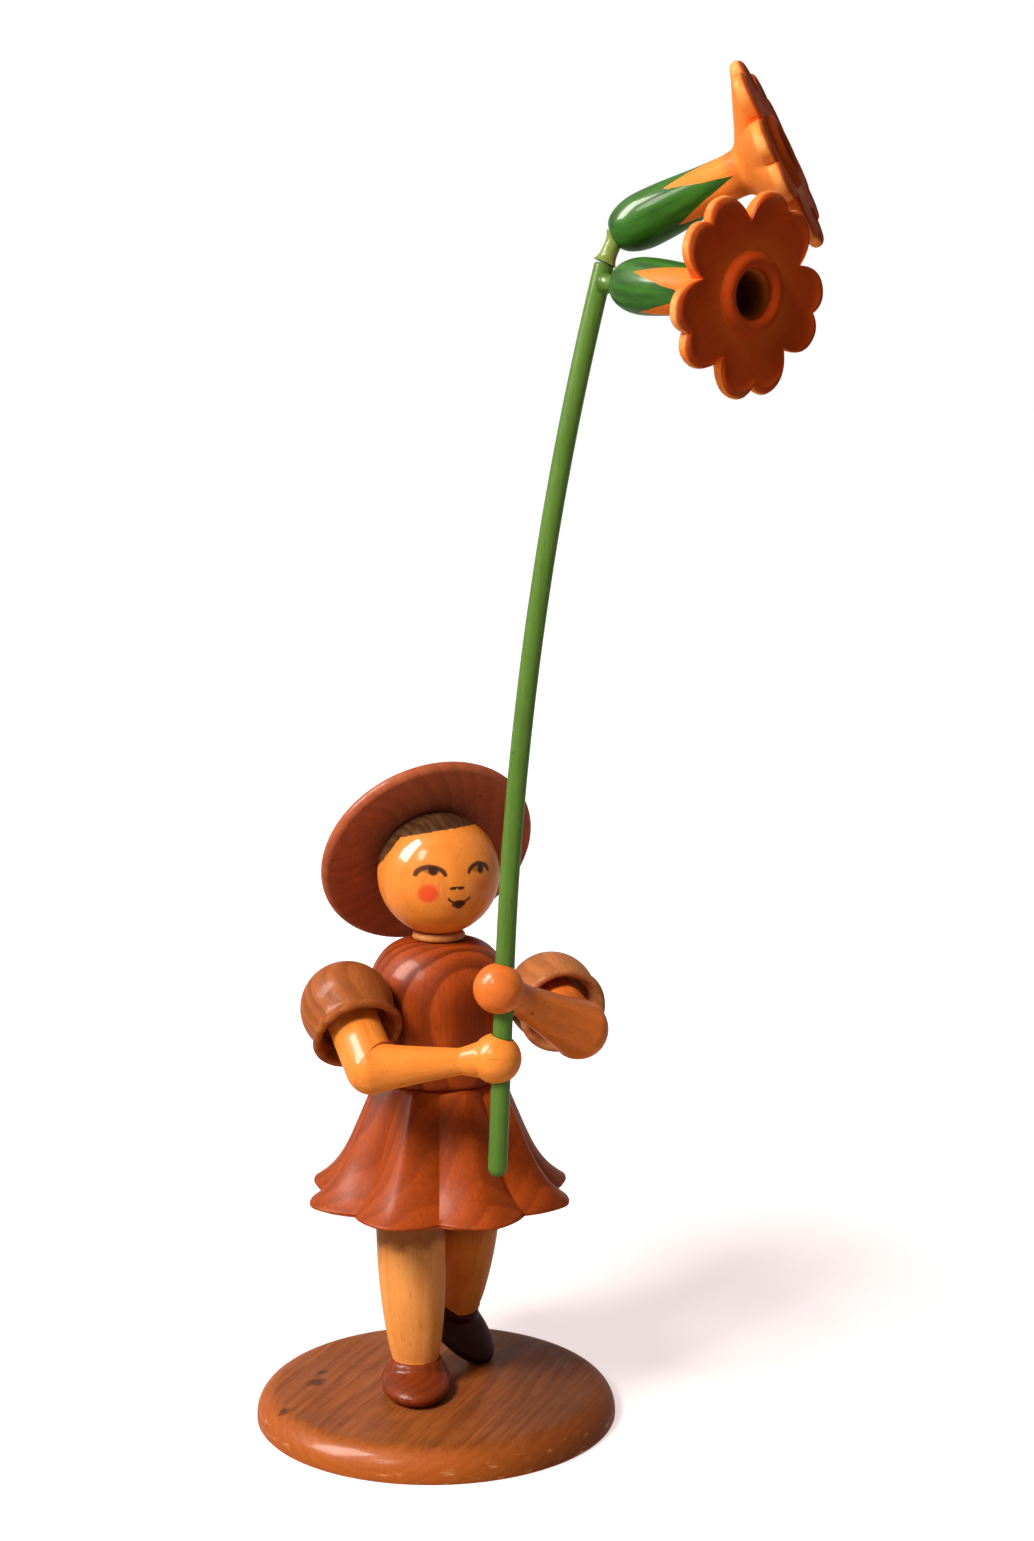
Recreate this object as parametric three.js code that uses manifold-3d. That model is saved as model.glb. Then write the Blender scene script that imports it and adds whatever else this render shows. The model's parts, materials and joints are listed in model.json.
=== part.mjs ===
// A turned wooden flower child: a girl in a pleated skirt and a sun hat, walking on a round base and
// holding a tall stem with two trumpet blossoms. Millimetres, +Z up, the face looks along -Y, and the
// origin is the middle of the base's underside. "Right" and "left" are the girl's own.
import * as THREE from "three";
import { mergeVertices } from "three/addons/utils/BufferGeometryUtils.js";
import Module from "manifold-3d";

const wasm = await Module();
wasm.setup();

// Fits
const GLUE_GAP = 0.08; // film of glue between two faces
const HOLE_PLAY = 0.08; // radial play of a glued dowel or tenon
const TURN_PLAY = 0.12; // radial play of what turns or slides
const HOLE_END = 0.3; // room left at the bottom of a blind hole

// Base
const BASE_RADIUS = 17.85;
const BASE_TOP_RADIUS = 15.3; // flat of the top, inside the rounded shoulder
const BASE_THICKNESS = 3.0;
const BASE_EDGE = 0.5; // upright edge below the shoulder

// Body axis, shared by skirt, bodice and head
const BODY_X = 0.4;
const BODY_Y = -0.15;

// Shoes
const SHOE_TOE = 6.85; // ankle axis to toe tip
const SHOE_HEEL = 4.0; // ankle axis to the back of the heel
const SHOE_WIDTH = 6.8;
const SHOE_CAP_HEIGHT = 2.35; // height of the toe cap above the sole
const SHOE_BULGE = 0.88; // height of the shoe's widest line above the sole
const SHOE_COLLAR_RADIUS = 2.65;
const SHOE_COLLAR_HEIGHT = 3.05; // sole to the seat of the ankle
const RIGHT_TURN_OUT = 20; // degrees
const LEFT_TURN_OUT = 30;
const HEEL_LIFT = 41; // degrees that the left shoe stands on its toe
const TOE_FLAT = 0.7; // how far the lifted shoe's toe is cut flat for the base
const FOOT_DOWEL_RADIUS = 0.8;
const FOOT_DOWEL_IN_BASE = 1.6;
const FOOT_DOWEL_IN_SHOE = 1.3;
const FOOT_DOWEL_AHEAD = 2.3; // right dowel, ahead of the ankle axis
const FOOT_DOWEL_BEHIND_TOE = 1.0; // left dowel, behind the toe tip

// Legs
const LEG_ANKLE_RADIUS = 2.3;
const LEG_CALF_RADIUS = 3.35;
const LEG_GAP = 0.2; // between the two legs at the hip
const LEG_SWELL = 0.75; // power of the calf's curve
const LEG_CALF_HEIGHT = 11.0; // ankle to the fullest part
const LEG_TENON_RADIUS = 1.5;
const LEG_TENON_LENGTH = 3.2; // into the skirt
const ANKLE_TENON_RADIUS = 0.7;
const ANKLE_TENON_LENGTH = 1.3; // into the shoe
const RIGHT_ANKLE_X = -2.23;
const RIGHT_ANKLE_Y = -0.03;
const LEFT_ANKLE_X = 4.85;
const LEFT_ANKLE_Y = 5.95;

// Skirt
const HEM_ABOVE_BASE = 19.7;
const SKIRT_HEIGHT = 11.7;
const SKIRT_HEM_RADIUS = 13.45; // on the crests of the pleats
const SKIRT_WAIST_RADIUS = 6.4;
const SKIRT_EDGE = 0.7; // thickness of the hem's edge
const SKIRT_FLARE = 2.15; // how far the hem kicks out past a plain cone
const SKIRT_FLARE_POWER = 6.5;
const SKIRT_HIP_POWER = 0.9; // under 1 fills the hips out
const SKIRT_HOLLOW_DEPTH = 3.5;
const SKIRT_HOLLOW_RADIUS = 10.4; // mouth of the hollow
const SKIRT_CEILING_RADIUS = 7.8; // floor of the hollow
const PLEAT_COUNT = 8;
const PLEAT_HEM_DEPTH = 2.1;
const PLEAT_WAIST_DEPTH = 0.45;
const PLEAT_ROUNDNESS = 0.7; // below 1: full crests, sharp valleys
const WAIST_DOWEL_RADIUS = 1.5;
const WAIST_DOWEL_REACH = 4.4; // into each of skirt and bodice

// Bodice
const BODICE_HEIGHT = 13.6;
const BODICE_RADIUS = 7.1;
const BODICE_WAIST_RADIUS = 6.2;
const BODICE_FULLEST = 7.4; // height of the fullest part above the waist
const BODICE_NECK_RADIUS = 2.8;
const BODICE_SHOULDER_POWER = 2.1; // above 2: squarer shoulders than a ball's

// Neck
const COLLAR_RADIUS = 2.6;
const COLLAR_HEIGHT = 0.75;
const NECK_DOWEL_RADIUS = 1.1;
const NECK_DOWEL_IN_BODICE = 3.4;
const NECK_DOWEL_IN_HEAD = 4.0;

// Head and hat
const HEAD_RADIUS = 5.95;
const HEAD_FLAT_RADIUS = 2.0; // flat under the chin that stands on the collar
const HAT_TILT = 30; // degrees that the hat's axis rises behind the head
const BRIM_RADIUS = 10.85;
const BRIM_THICKNESS = 1.3;
const BRIM_SETBACK = 2.75; // head's middle to the front of the rim, along the hat's axis
const BRIM_DISH = 1.3; // depth of the dished underside
const CROWN_RADIUS = 6.0;
const CROWN_HEIGHT = 4.6; // above the brim

// Sleeves and arms
const SHOULDER_AZIMUTH = 74; // degrees from straight ahead to each shoulder
const RIGHT_SHOULDER_RISE = 8.5; // above the waist
const LEFT_SHOULDER_RISE = 7.6;
const SLEEVE_RADIUS = 4.45;
const SLEEVE_SEAT = 0.45; // how deep the sleeve is hollowed to fit the bodice
const SLEEVE_NECK_RADIUS = 3.95; // narrowest place above the cuff
const CUFF_RADIUS = 4.4;
const CUFF_REACH = 3.75; // shoulder's middle to the cuff's face
const CUFF_LIP = 0.8; // thickness of the cuff's lip
const CUFF_NECK_BACK = 1.2; // cuff's face back to the narrowest place
const CUFF_DEPTH = 3.0;
const SHOULDER_DOWEL_RADIUS = 0.8;
const SHOULDER_DOWEL_IN_BODICE = 3.2;
const SHOULDER_DOWEL_IN_SLEEVE = 2.0;
const ARM_RADIUS = 2.45;
const ARM_TENON_RADIUS = 1.1;
const ARM_TENON_LENGTH = 1.9;
const UPPER_ARM_LENGTH = 7.9; // shoulder's middle to the elbow
const RIGHT_ARM_DROP = 33.5; // degrees below level
const LEFT_ARM_DROP = 10.5;
const RIGHT_ARM_INWARD = 0; // degrees towards the middle
const LEFT_ARM_INWARD = 5.5;
const WRIST_RADIUS = 1.25;
const WRIST_BACK = 3.3; // from the hand's centre
const HAND_MEETS = 45; // degrees on the ball where the wrist's cone ends
const WRIST_TAPER = 1.25; // power of the forearm's taper
const HAND_RADIUS = 2.35;
const RIGHT_HAND_RISE = 5.3; // above the waist
const LEFT_HAND_RISE = 11.6;
const RIGHT_BORE_BEYOND = 0.5; // bore past the middle of the hand, away from the wrist
const LEFT_BORE_BEYOND = -0.85; // bore on the wrist's side of the middle

// Flower stem
const STEM_RADIUS = 0.9;
const STEM_X = 0.28; // at the height of the waist
const STEM_Y = -15.2;
const STEM_BELOW_WAIST = 6.0;
const STEM_LEAN = 2.1; // degrees
const STEM_LEAN_AZIMUTH = -22; // degrees from +X, the side that the stem leans and bends to
const STEM_STRAIGHT = 19.6; // straight run from the lower end
const STEM_ARC = 64.5; // length of the bent run above it
const STEM_BEND_RADIUS = 318;

// Blossoms
const BLOSSOM_LENGTH = 16.65;
const CALYX_RADIUS = 2.5;
const CALYX_FULLEST = 3.4; // from the blunt end
const CALYX_BLUNT = 0.8; // radius of the blunt end
const TUBE_RADIUS = 2.0;
const TUBE_LENGTH = 11.8; // from the blunt end to the start of the flare
const FLARE_ROOT = 2.5;
const FLARE_ROOT_AT = 13.0;
const FLARE_RADIUS = 8.75;
const FLARE_MIDWAY = 0.58; // share of the flare's length at the middle of its radius
const PETAL_EDGE = 1.3;
const FACE_DISH = 0.25; // depth of the face from the rim to the foot of the bead
const FACE_MIDWAY = 0.7; // share of the dish's depth at the middle of the face
const BEAD_RADIUS = 2.75; // ring round the throat
const BEAD_HEIGHT = 0.7;
const THROAT_RADIUS = 2.0;
const THROAT_END_RADIUS = 1.5;
const THROAT_DEPTH = 4.2;
const PETAL_COUNT = 5;
const PETAL_GAP_DEPTH = 2.9; // notch between two petals
const PETAL_NOTCH_DEPTH = 1.0; // notch in the middle of a petal
const PETAL_GAP_SPREAD = 0.9; // how far each side of a gap reaches, 1 to the middle of a petal
const PETAL_NOTCH_SPREAD = 0.5;
const PEG_RADIUS = 0.75;
const PEG_TENON_RADIUS = 0.42;
const PEG_TENON_LENGTH = 1.4; // into the calyx
const UPPER_TENON_IN_STEM = 0.8; // ends above the lower tenon
const LOWER_TENON_PAST = 0.3; // past the stem's axis, short of the far side
const PEG_MEETS = 0.45; // from the calyx's blunt end to where the peg's axis meets the blossom's
const UPPER_PEG_LENGTH = 2.9; // stem's end to where the axes meet
const UPPER_PEG_LEAN = 24; // degrees from upright
const LOWER_PEG_LENGTH = 3.0; // stem's axis to where the axes meet
const UPPER_BLOSSOM_RISE = 24.5; // degrees above level
const UPPER_BLOSSOM_AZIMUTH = -39; // degrees from +X
const UPPER_BLOSSOM_SPIN = 10;
const LOWER_BLOSSOM_RISE = -5.5;
const LOWER_BLOSSOM_AZIMUTH = -74;
const LOWER_BLOSSOM_SPIN = 60;
const LOWER_BLOSSOM_DROP = 1.7; // stem's upper end down to the lower peg

// Facets
const SIDES = 20; // of most turned pieces
const FINE_SIDES = 32; // of the base, the head and the hat
const DOWEL_SIDES = 12;
const STEM_SIDES = 6; // in half a turn
const STEM_STEPS = 20;
const PLEAT_SIDES = 6; // facets of one pleat
const PETAL_SIDES = 12; // facets of one petal
const SHORT_STEPS = 4; // along a short curve of an outline
const ROUND_STEPS = 6; // along a round one
const LONG_STEPS = 7; // along a leg or the skirt

// Finishes from the photograph
const WOOD_BROWN = { color: 0x7a4526, roughness: 0.55, metalness: 0 };
const WOOD_RED = { color: 0x8a3a1c, roughness: 0.4, metalness: 0 };
const WOOD_DARK = { color: 0x5e3526, roughness: 0.5, metalness: 0 };
const WOOD_HONEY = { color: 0xc8742c, roughness: 0.45, metalness: 0 };
const WOOD_SLEEVE = { color: 0x8e5630, roughness: 0.45, metalness: 0 };
const WOOD_PLAIN = { color: 0xd9b37c, roughness: 0.6, metalness: 0 };
const WOOD_SHOE = { color: 0x9a4318, roughness: 0.4, metalness: 0 };
const PAINT_GREEN = { color: 0x2f7a24, roughness: 0.4, metalness: 0 };
const PAINT_PALE_GREEN = { color: 0xa3b04e, roughness: 0.5, metalness: 0 };
const PAINT_ORANGE = { color: 0xe0661c, roughness: 0.5, metalness: 0 };

const UP = new THREE.Vector3(0, 0, 1);
const ONE = new THREE.Vector3(1, 1, 1);
const FAR = 60; // longer than any cut

const radians = THREE.MathUtils.degToRad;
const lerp = THREE.MathUtils.lerp;

/** A direction from its azimuth (degrees from +X) and its rise above level. */
function direction(azimuth, rise) {
  const flat = Math.cos(radians(rise));
  return new THREE.Vector3(
    flat * Math.cos(radians(azimuth)),
    flat * Math.sin(radians(azimuth)),
    Math.sin(radians(rise)),
  );
}

/** A point some way along a direction. */
function along(origin, way, distance) {
  return origin.clone().addScaledVector(way, distance);
}

/** A frame whose +Z runs along a direction. */
function frameAlong(origin, way, spin = 0) {
  const turn = new THREE.Quaternion().setFromUnitVectors(UP, way.clone().normalize());
  const twist = new THREE.Quaternion().setFromAxisAngle(UP, radians(spin));
  return new THREE.Matrix4().compose(origin, turn.multiply(twist), ONE);
}

/** A closed solid from a closed geometry: vertices shared, collapsed triangles dropped, faces out. */
function solid(geometry) {
  const bare = geometry.clone();
  bare.deleteAttribute("normal");
  bare.deleteAttribute("uv");
  const merged = mergeVertices(bare, 1e-4);
  const places = merged.getAttribute("position");
  const corners = [];
  const index = merged.getIndex();
  for (let i = 0; i < index.count; i += 3) {
    const [a, b, c] = [index.getX(i), index.getX(i + 1), index.getX(i + 2)];
    if (a !== b && b !== c && c !== a) corners.push(a, b, c);
  }
  const point = new THREE.Vector3();
  const second = new THREE.Vector3();
  const third = new THREE.Vector3();
  let volume = 0;
  for (let i = 0; i < corners.length; i += 3) {
    point.fromBufferAttribute(places, corners[i]);
    second.fromBufferAttribute(places, corners[i + 1]);
    third.fromBufferAttribute(places, corners[i + 2]);
    volume += point.dot(second.cross(third));
  }
  if (volume < 0) corners.reverse();
  return new wasm.Manifold(
    new wasm.Mesh({
      numProp: 3,
      vertProperties: new Float32Array(places.array),
      triVerts: new Uint32Array(corners),
    }),
  );
}

/** A piece turned on a lathe: [radius, height] points from the lower end to the upper end. */
function turned(profile, sides, frame = new THREE.Matrix4(), shape = null) {
  const points = profile.map(([radius, height]) => new THREE.Vector2(radius, height));
  const geometry = new THREE.LatheGeometry(points, sides);
  geometry.rotateX(Math.PI / 2);
  if (shape) {
    const places = geometry.getAttribute("position");
    for (let i = 0; i < places.count; i += 1) {
      const [x, y, z] = [places.getX(i), places.getY(i), places.getZ(i)];
      const radius = Math.hypot(x, y);
      if (radius < 1e-6) continue;
      const scale = shape(radius, z, Math.atan2(x, -y)) / radius;
      places.setXYZ(i, x * scale, y * scale, z);
    }
  }
  geometry.applyMatrix4(frame);
  return solid(geometry);
}

/** A plain round rod from one point to another. */
function rod(from, to, radius, sides = DOWEL_SIDES) {
  const way = to.clone().sub(from);
  const length = way.length();
  return turned([[0, 0], [radius, 0], [radius, length], [0, length]], sides, frameAlong(from, way));
}

/** The half of space on the side that a normal points to, as a large block. */
function halfSpace(point, normal) {
  const box = new THREE.BoxGeometry(FAR, FAR, FAR);
  box.translate(0, 0, FAR / 2);
  box.applyMatrix4(frameAlong(point, normal));
  return solid(box);
}

/** Points of an arc of an ellipse, from one angle to another, both in degrees. */
function arc(radius, height, wide, tall, from, to, steps) {
  return Array.from({ length: steps + 1 }, (_, i) => {
    const angle = radians(lerp(from, to, i / steps));
    return [radius + wide * Math.cos(angle), height + tall * Math.sin(angle)];
  });
}

/** Points sampled from a formula for the radius between two heights. */
function curve(from, to, steps, radiusAt) {
  return Array.from({ length: steps + 1 }, (_, i) => {
    const height = lerp(from, to, i / steps);
    return [radiusAt(height), height];
  });
}

/** Adds one finished piece to a group, with its geometry written in the piece's own frame. */
function addPiece(group, name, body, finish, frame) {
  const { vertProperties, triVerts } = body.getMesh();
  const geometry = new THREE.BufferGeometry();
  geometry.setAttribute("position", new THREE.Float32BufferAttribute(vertProperties, 3));
  geometry.setIndex(Array.from(triVerts));
  geometry.applyMatrix4(frame.clone().invert());
  geometry.computeVertexNormals();
  const mesh = new THREE.Mesh(geometry, new THREE.MeshStandardMaterial(finish));
  mesh.name = name;
  mesh.applyMatrix4(group.matrix.clone().invert().multiply(frame));
  group.add(mesh);
}

/** A frame that is only moved. */
function frameAt(x, y, z) {
  return new THREE.Matrix4().makeTranslation(x, y, z);
}

// Levels that pieces share
const HEM_Z = BASE_THICKNESS + HEM_ABOVE_BASE;
const CEILING_Z = HEM_Z + SKIRT_HOLLOW_DEPTH;
const WAIST_Z = HEM_Z + SKIRT_HEIGHT;
const BODICE_Z = WAIST_Z + GLUE_GAP;
const BODICE_TOP_Z = BODICE_Z + BODICE_HEIGHT;
const COLLAR_Z = BODICE_TOP_Z + GLUE_GAP;
const HEAD_FLAT_Z = COLLAR_Z + COLLAR_HEIGHT + GLUE_GAP;
const HEAD_FLAT_DROP = Math.sqrt(HEAD_RADIUS ** 2 - HEAD_FLAT_RADIUS ** 2);
const HEAD_CENTRE = new THREE.Vector3(BODY_X, BODY_Y, HEAD_FLAT_Z + HEAD_FLAT_DROP);

const bodyPoint = (z) => new THREE.Vector3(BODY_X, BODY_Y, z);

// The stem's course: straight through both hands, then one gentle bend to the side
const STEM_SIDE = direction(STEM_LEAN_AZIMUTH, 0);

class StemCurve extends THREE.Curve {
  constructor(start, lean) {
    super();
    this.start = start;
    this.lean = lean;
    this.way = this.tangentAt(0);
  }

  /** Direction at a distance from the lower end. */
  tangentAt(distance) {
    const bend = Math.max(0, distance - STEM_STRAIGHT) / STEM_BEND_RADIUS;
    const angle = this.lean + bend;
    return UP.clone().multiplyScalar(Math.cos(angle)).addScaledVector(STEM_SIDE, Math.sin(angle));
  }

  /** Point at a distance from the lower end. */
  pointAt(distance) {
    const straight = Math.min(distance, STEM_STRAIGHT);
    const point = along(this.start, this.way, straight);
    const bend = Math.max(0, distance - STEM_STRAIGHT) / STEM_BEND_RADIUS;
    const rise = Math.sin(this.lean + bend) - Math.sin(this.lean);
    const shift = Math.cos(this.lean) - Math.cos(this.lean + bend);
    point.addScaledVector(UP, STEM_BEND_RADIUS * rise);
    return point.addScaledVector(STEM_SIDE, STEM_BEND_RADIUS * shift);
  }

  /** Point of the straight run's line at a height. */
  lineAt(z) {
    return along(this.start, this.way, (z - this.start.z) / this.way.z);
  }

  getPoint(t) {
    return this.pointAt(t * (STEM_STRAIGHT + STEM_ARC));
  }
}

const stemLean = radians(STEM_LEAN);
const stemFoot = new THREE.Vector3(STEM_X, STEM_Y, WAIST_Z)
  .addScaledVector(STEM_SIDE, -STEM_BELOW_WAIST * Math.tan(stemLean))
  .addScaledVector(UP, -STEM_BELOW_WAIST);
const stemCourse = new StemCurve(stemFoot, stemLean);

/** A turned disc with a flat top and a rounded shoulder. */
function makeBase() {
  const shoulder = arc(
    BASE_TOP_RADIUS, BASE_EDGE, BASE_RADIUS - BASE_TOP_RADIUS, BASE_THICKNESS - BASE_EDGE,
    0, 90, SHORT_STEPS,
  );
  return turned([[0, 0], [BASE_RADIUS, 0], ...shoulder, [0, BASE_THICKNESS]], FINE_SIDES);
}

/** A shoe with its sole at height 0, its ankle axis on Z and its toe towards -Y. */
function makeShoe(frame) {
  const length = SHOE_TOE + SHOE_HEEL;
  const cap = new THREE.SphereGeometry(1, SIDES, SIDES / 2);
  cap.rotateX(Math.PI / 2);
  cap.scale(SHOE_WIDTH / 2, length / 2, SHOE_CAP_HEIGHT - SHOE_BULGE);
  cap.translate(0, (SHOE_HEEL - SHOE_TOE) / 2, SHOE_BULGE);
  cap.applyMatrix4(frame);
  const collar = turned(
    [
      [0, SHOE_BULGE],
      [SHOE_COLLAR_RADIUS + (SHOE_COLLAR_HEIGHT - SHOE_BULGE) / 4, SHOE_BULGE],
      [SHOE_COLLAR_RADIUS, SHOE_COLLAR_HEIGHT - GLUE_GAP],
      [0, SHOE_COLLAR_HEIGHT - GLUE_GAP],
    ],
    SIDES,
    frame,
  );
  const sole = new THREE.Vector3().setFromMatrixPosition(frame);
  const down = new THREE.Vector3().setFromMatrixColumn(frame, 2).negate();
  return solid(cap).add(collar).subtract(halfSpace(sole, down));
}

/** The dowel from a shoe into the base, grown by a margin to make its holes. */
function footDowel(at, margin = 0, past = 0) {
  const from = along(at, UP, -FOOT_DOWEL_IN_BASE - past);
  return rod(from, along(at, UP, FOOT_DOWEL_IN_SHOE + past), FOOT_DOWEL_RADIUS + margin);
}

/** The radius of a leg at a distance from its ankle. */
function legRadius(distance) {
  const share = Math.min(Math.max(distance / LEG_CALF_HEIGHT, 0), 1);
  const swell = Math.sin((share * Math.PI) / 2) ** LEG_SWELL;
  return lerp(LEG_ANKLE_RADIUS, LEG_CALF_RADIUS, swell);
}

/** One leg with a tenon at each end, cut level under the skirt and square to the shoe's collar. */
function makeLeg(ankle, hip, collarWay) {
  const way = hip.clone().sub(ankle).normalize();
  const length = (CEILING_Z - ankle.z) / way.z;
  const frame = frameAlong(ankle, way);
  const past = length + LEG_CALF_RADIUS;
  const below = -LEG_ANKLE_RADIUS;
  const swell = curve(0, past, LONG_STEPS, legRadius);
  const profile = [[0, below], [LEG_ANKLE_RADIUS, below], ...swell, [0, past]];
  const shank = turned(profile, SIDES, frame)
    .subtract(halfSpace(bodyPoint(CEILING_Z - GLUE_GAP), UP))
    .subtract(halfSpace(ankle, collarWay.clone().negate()));
  const tenonTop = along(ankle, way, length + LEG_TENON_LENGTH);
  const tenonFoot = along(ankle, way, -ANKLE_TENON_LENGTH);
  const upper = rod(along(ankle, way, length - LEG_CALF_RADIUS), tenonTop, LEG_TENON_RADIUS);
  const lower = rod(tenonFoot, along(ankle, way, LEG_ANKLE_RADIUS), ANKLE_TENON_RADIUS);
  return shank.add(upper).add(lower);
}

/** The hole in the skirt for a leg's upper tenon. */
function legSocket(ankle, hip) {
  const way = hip.clone().sub(ankle).normalize();
  const length = (CEILING_Z - ankle.z) / way.z;
  const end = along(ankle, way, length + LEG_TENON_LENGTH + HOLE_END);
  return rod(along(ankle, way, length - LEG_TENON_RADIUS), end, LEG_TENON_RADIUS + HOLE_PLAY);
}

/** The hole in a shoe for a leg's lower tenon. */
function ankleSocket(ankle, hip) {
  const way = hip.clone().sub(ankle).normalize();
  const end = along(ankle, way, -ANKLE_TENON_LENGTH - HOLE_END);
  return rod(along(ankle, way, LEG_ANKLE_RADIUS), end, ANKLE_TENON_RADIUS + HOLE_PLAY);
}

/** The skirt's radius on the crest of a pleat. */
function skirtRadius(z) {
  const down = Math.min(Math.max((WAIST_Z - z) / (SKIRT_HEIGHT - SKIRT_EDGE), 0), 1);
  const cone = lerp(SKIRT_WAIST_RADIUS, SKIRT_HEM_RADIUS - SKIRT_FLARE, down ** SKIRT_HIP_POWER);
  return cone + SKIRT_FLARE * down ** SKIRT_FLARE_POWER;
}

/** A bell of pleats: a crest faces front, and the valleys fade towards the waist. */
function makeSkirt() {
  const inner = [[0, CEILING_Z], [SKIRT_CEILING_RADIUS, CEILING_Z], [SKIRT_HOLLOW_RADIUS, HEM_Z]];
  const edge = [SKIRT_HEM_RADIUS - SKIRT_EDGE / 2, HEM_Z];
  const outer = Array.from({ length: LONG_STEPS + 1 }, (_, i) => {
    const z = lerp(HEM_Z + SKIRT_EDGE, WAIST_Z, (i / LONG_STEPS) ** 2);
    return [skirtRadius(z), z];
  });
  const pleat = (radius, z, angle) => {
    if (z < CEILING_Z + GLUE_GAP && radius < skirtRadius(z) - SKIRT_EDGE) return radius;
    const down = (WAIST_Z - z) / SKIRT_HEIGHT;
    const depth = lerp(PLEAT_WAIST_DEPTH, PLEAT_HEM_DEPTH, down);
    const wave = Math.abs(Math.cos((PLEAT_COUNT / 2) * angle)) ** PLEAT_ROUNDNESS;
    return radius - depth * (1 - wave);
  };
  const profile = [...inner, edge, ...outer, [0, WAIST_Z]];
  return turned(profile, PLEAT_COUNT * PLEAT_SIDES, frameAt(BODY_X, BODY_Y, 0), pleat);
}

/** The bodice's outline, grown by a margin for the sleeves' seats. */
function bodiceProfile(margin = 0) {
  const fullest = BODICE_Z + BODICE_FULLEST;
  const radius = BODICE_RADIUS + margin;
  const lower = curve(BODICE_Z, fullest, SHORT_STEPS, (z) => {
    const up = (z - BODICE_Z) / BODICE_FULLEST;
    return lerp(BODICE_WAIST_RADIUS + margin, radius, Math.sin((up * Math.PI) / 2));
  });
  const tall = BODICE_TOP_Z - fullest;
  const wide = radius - BODICE_NECK_RADIUS;
  const upper = arc(0, 0, 1, 1, 0, 90, ROUND_STEPS).map(([across, over]) => [
    BODICE_NECK_RADIUS + wide * Math.abs(across) ** (2 / BODICE_SHOULDER_POWER),
    fullest + (tall + margin) * over ** (2 / BODICE_SHOULDER_POWER),
  ]);
  return [[0, BODICE_Z], ...lower, ...upper.slice(1), [0, BODICE_TOP_Z + margin]];
}

/** The pale ring between bodice and head. */
function makeCollar() {
  const rounding = COLLAR_HEIGHT / 4;
  const profile = [
    [0, 0],
    [COLLAR_RADIUS - rounding, 0],
    [COLLAR_RADIUS, COLLAR_HEIGHT / 2],
    [COLLAR_RADIUS - rounding, COLLAR_HEIGHT],
    [0, COLLAR_HEIGHT],
  ];
  return turned(profile, SIDES, frameAt(BODY_X, BODY_Y, COLLAR_Z));
}

/** The ball of the head, flat under the chin and bored for the neck dowel. */
function makeHead() {
  const low = (Math.asin(-HEAD_FLAT_DROP / HEAD_RADIUS) * 180) / Math.PI;
  const ball = arc(0, 0, HEAD_RADIUS, HEAD_RADIUS, low, 90, 2 * ROUND_STEPS);
  const frame = frameAt(HEAD_CENTRE.x, HEAD_CENTRE.y, HEAD_CENTRE.z);
  const profile = [[0, -HEAD_FLAT_DROP], ...ball.slice(0, -1), [0, HEAD_RADIUS]];
  const bore = rod(
    bodyPoint(HEAD_FLAT_Z - COLLAR_HEIGHT),
    bodyPoint(HEAD_FLAT_Z + NECK_DOWEL_IN_HEAD + HOLE_END),
    NECK_DOWEL_RADIUS + TURN_PLAY,
  );
  return turned(profile, FINE_SIDES, frame).subtract(bore);
}

/** The sun hat worn on the back of the head: dished brim, rounded rim, low crown. */
function makeHat(frame) {
  const rim = BRIM_THICKNESS / 2;
  const middle = BRIM_SETBACK + rim;
  const dish = curve(0, 1, SHORT_STEPS, (share) => (BRIM_RADIUS - rim) * share).map(([radius, share]) => [
    radius, BRIM_SETBACK + BRIM_DISH * (1 - share ** 2),
  ]);
  const edge = arc(BRIM_RADIUS - rim, middle, rim, rim, -60, 90, SHORT_STEPS);
  const seat = BRIM_SETBACK + BRIM_DISH + BRIM_THICKNESS;
  const crown = arc(0, seat, CROWN_RADIUS, CROWN_HEIGHT, 0, 90, ROUND_STEPS).slice(0, -1);
  const hat = turned([...dish, ...edge, ...crown, [0, seat + CROWN_HEIGHT]], FINE_SIDES, frame);
  const ball = new THREE.SphereGeometry(HEAD_RADIUS + GLUE_GAP, FINE_SIDES, FINE_SIDES / 2);
  ball.applyMatrix4(frameAt(HEAD_CENTRE.x, HEAD_CENTRE.y, HEAD_CENTRE.z));
  return hat.subtract(solid(ball));
}

/** The places and directions of one arm. */
function armPlan({ side, rise, drop, inward, handRise, boreBeyond }) {
  const azimuth = -90 + side * SHOULDER_AZIMUTH;
  const reach = BODICE_RADIUS + SLEEVE_RADIUS - SLEEVE_SEAT;
  const shoulder = along(bodyPoint(WAIST_Z + rise), direction(azimuth, 0), reach);
  const upperWay = direction(-90 - side * inward, -drop);
  const elbow = along(shoulder, upperWay, UPPER_ARM_LENGTH);
  const grip = stemCourse.lineAt(WAIST_Z + handRise);
  const lowerWay = grip.clone().sub(elbow).normalize();
  const hand = along(grip, lowerWay, -boreBeyond);
  const mitre = upperWay.clone().add(lowerWay).normalize();
  return { azimuth, shoulder, upperWay, elbow, lowerWay, hand, mitre };
}

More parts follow.
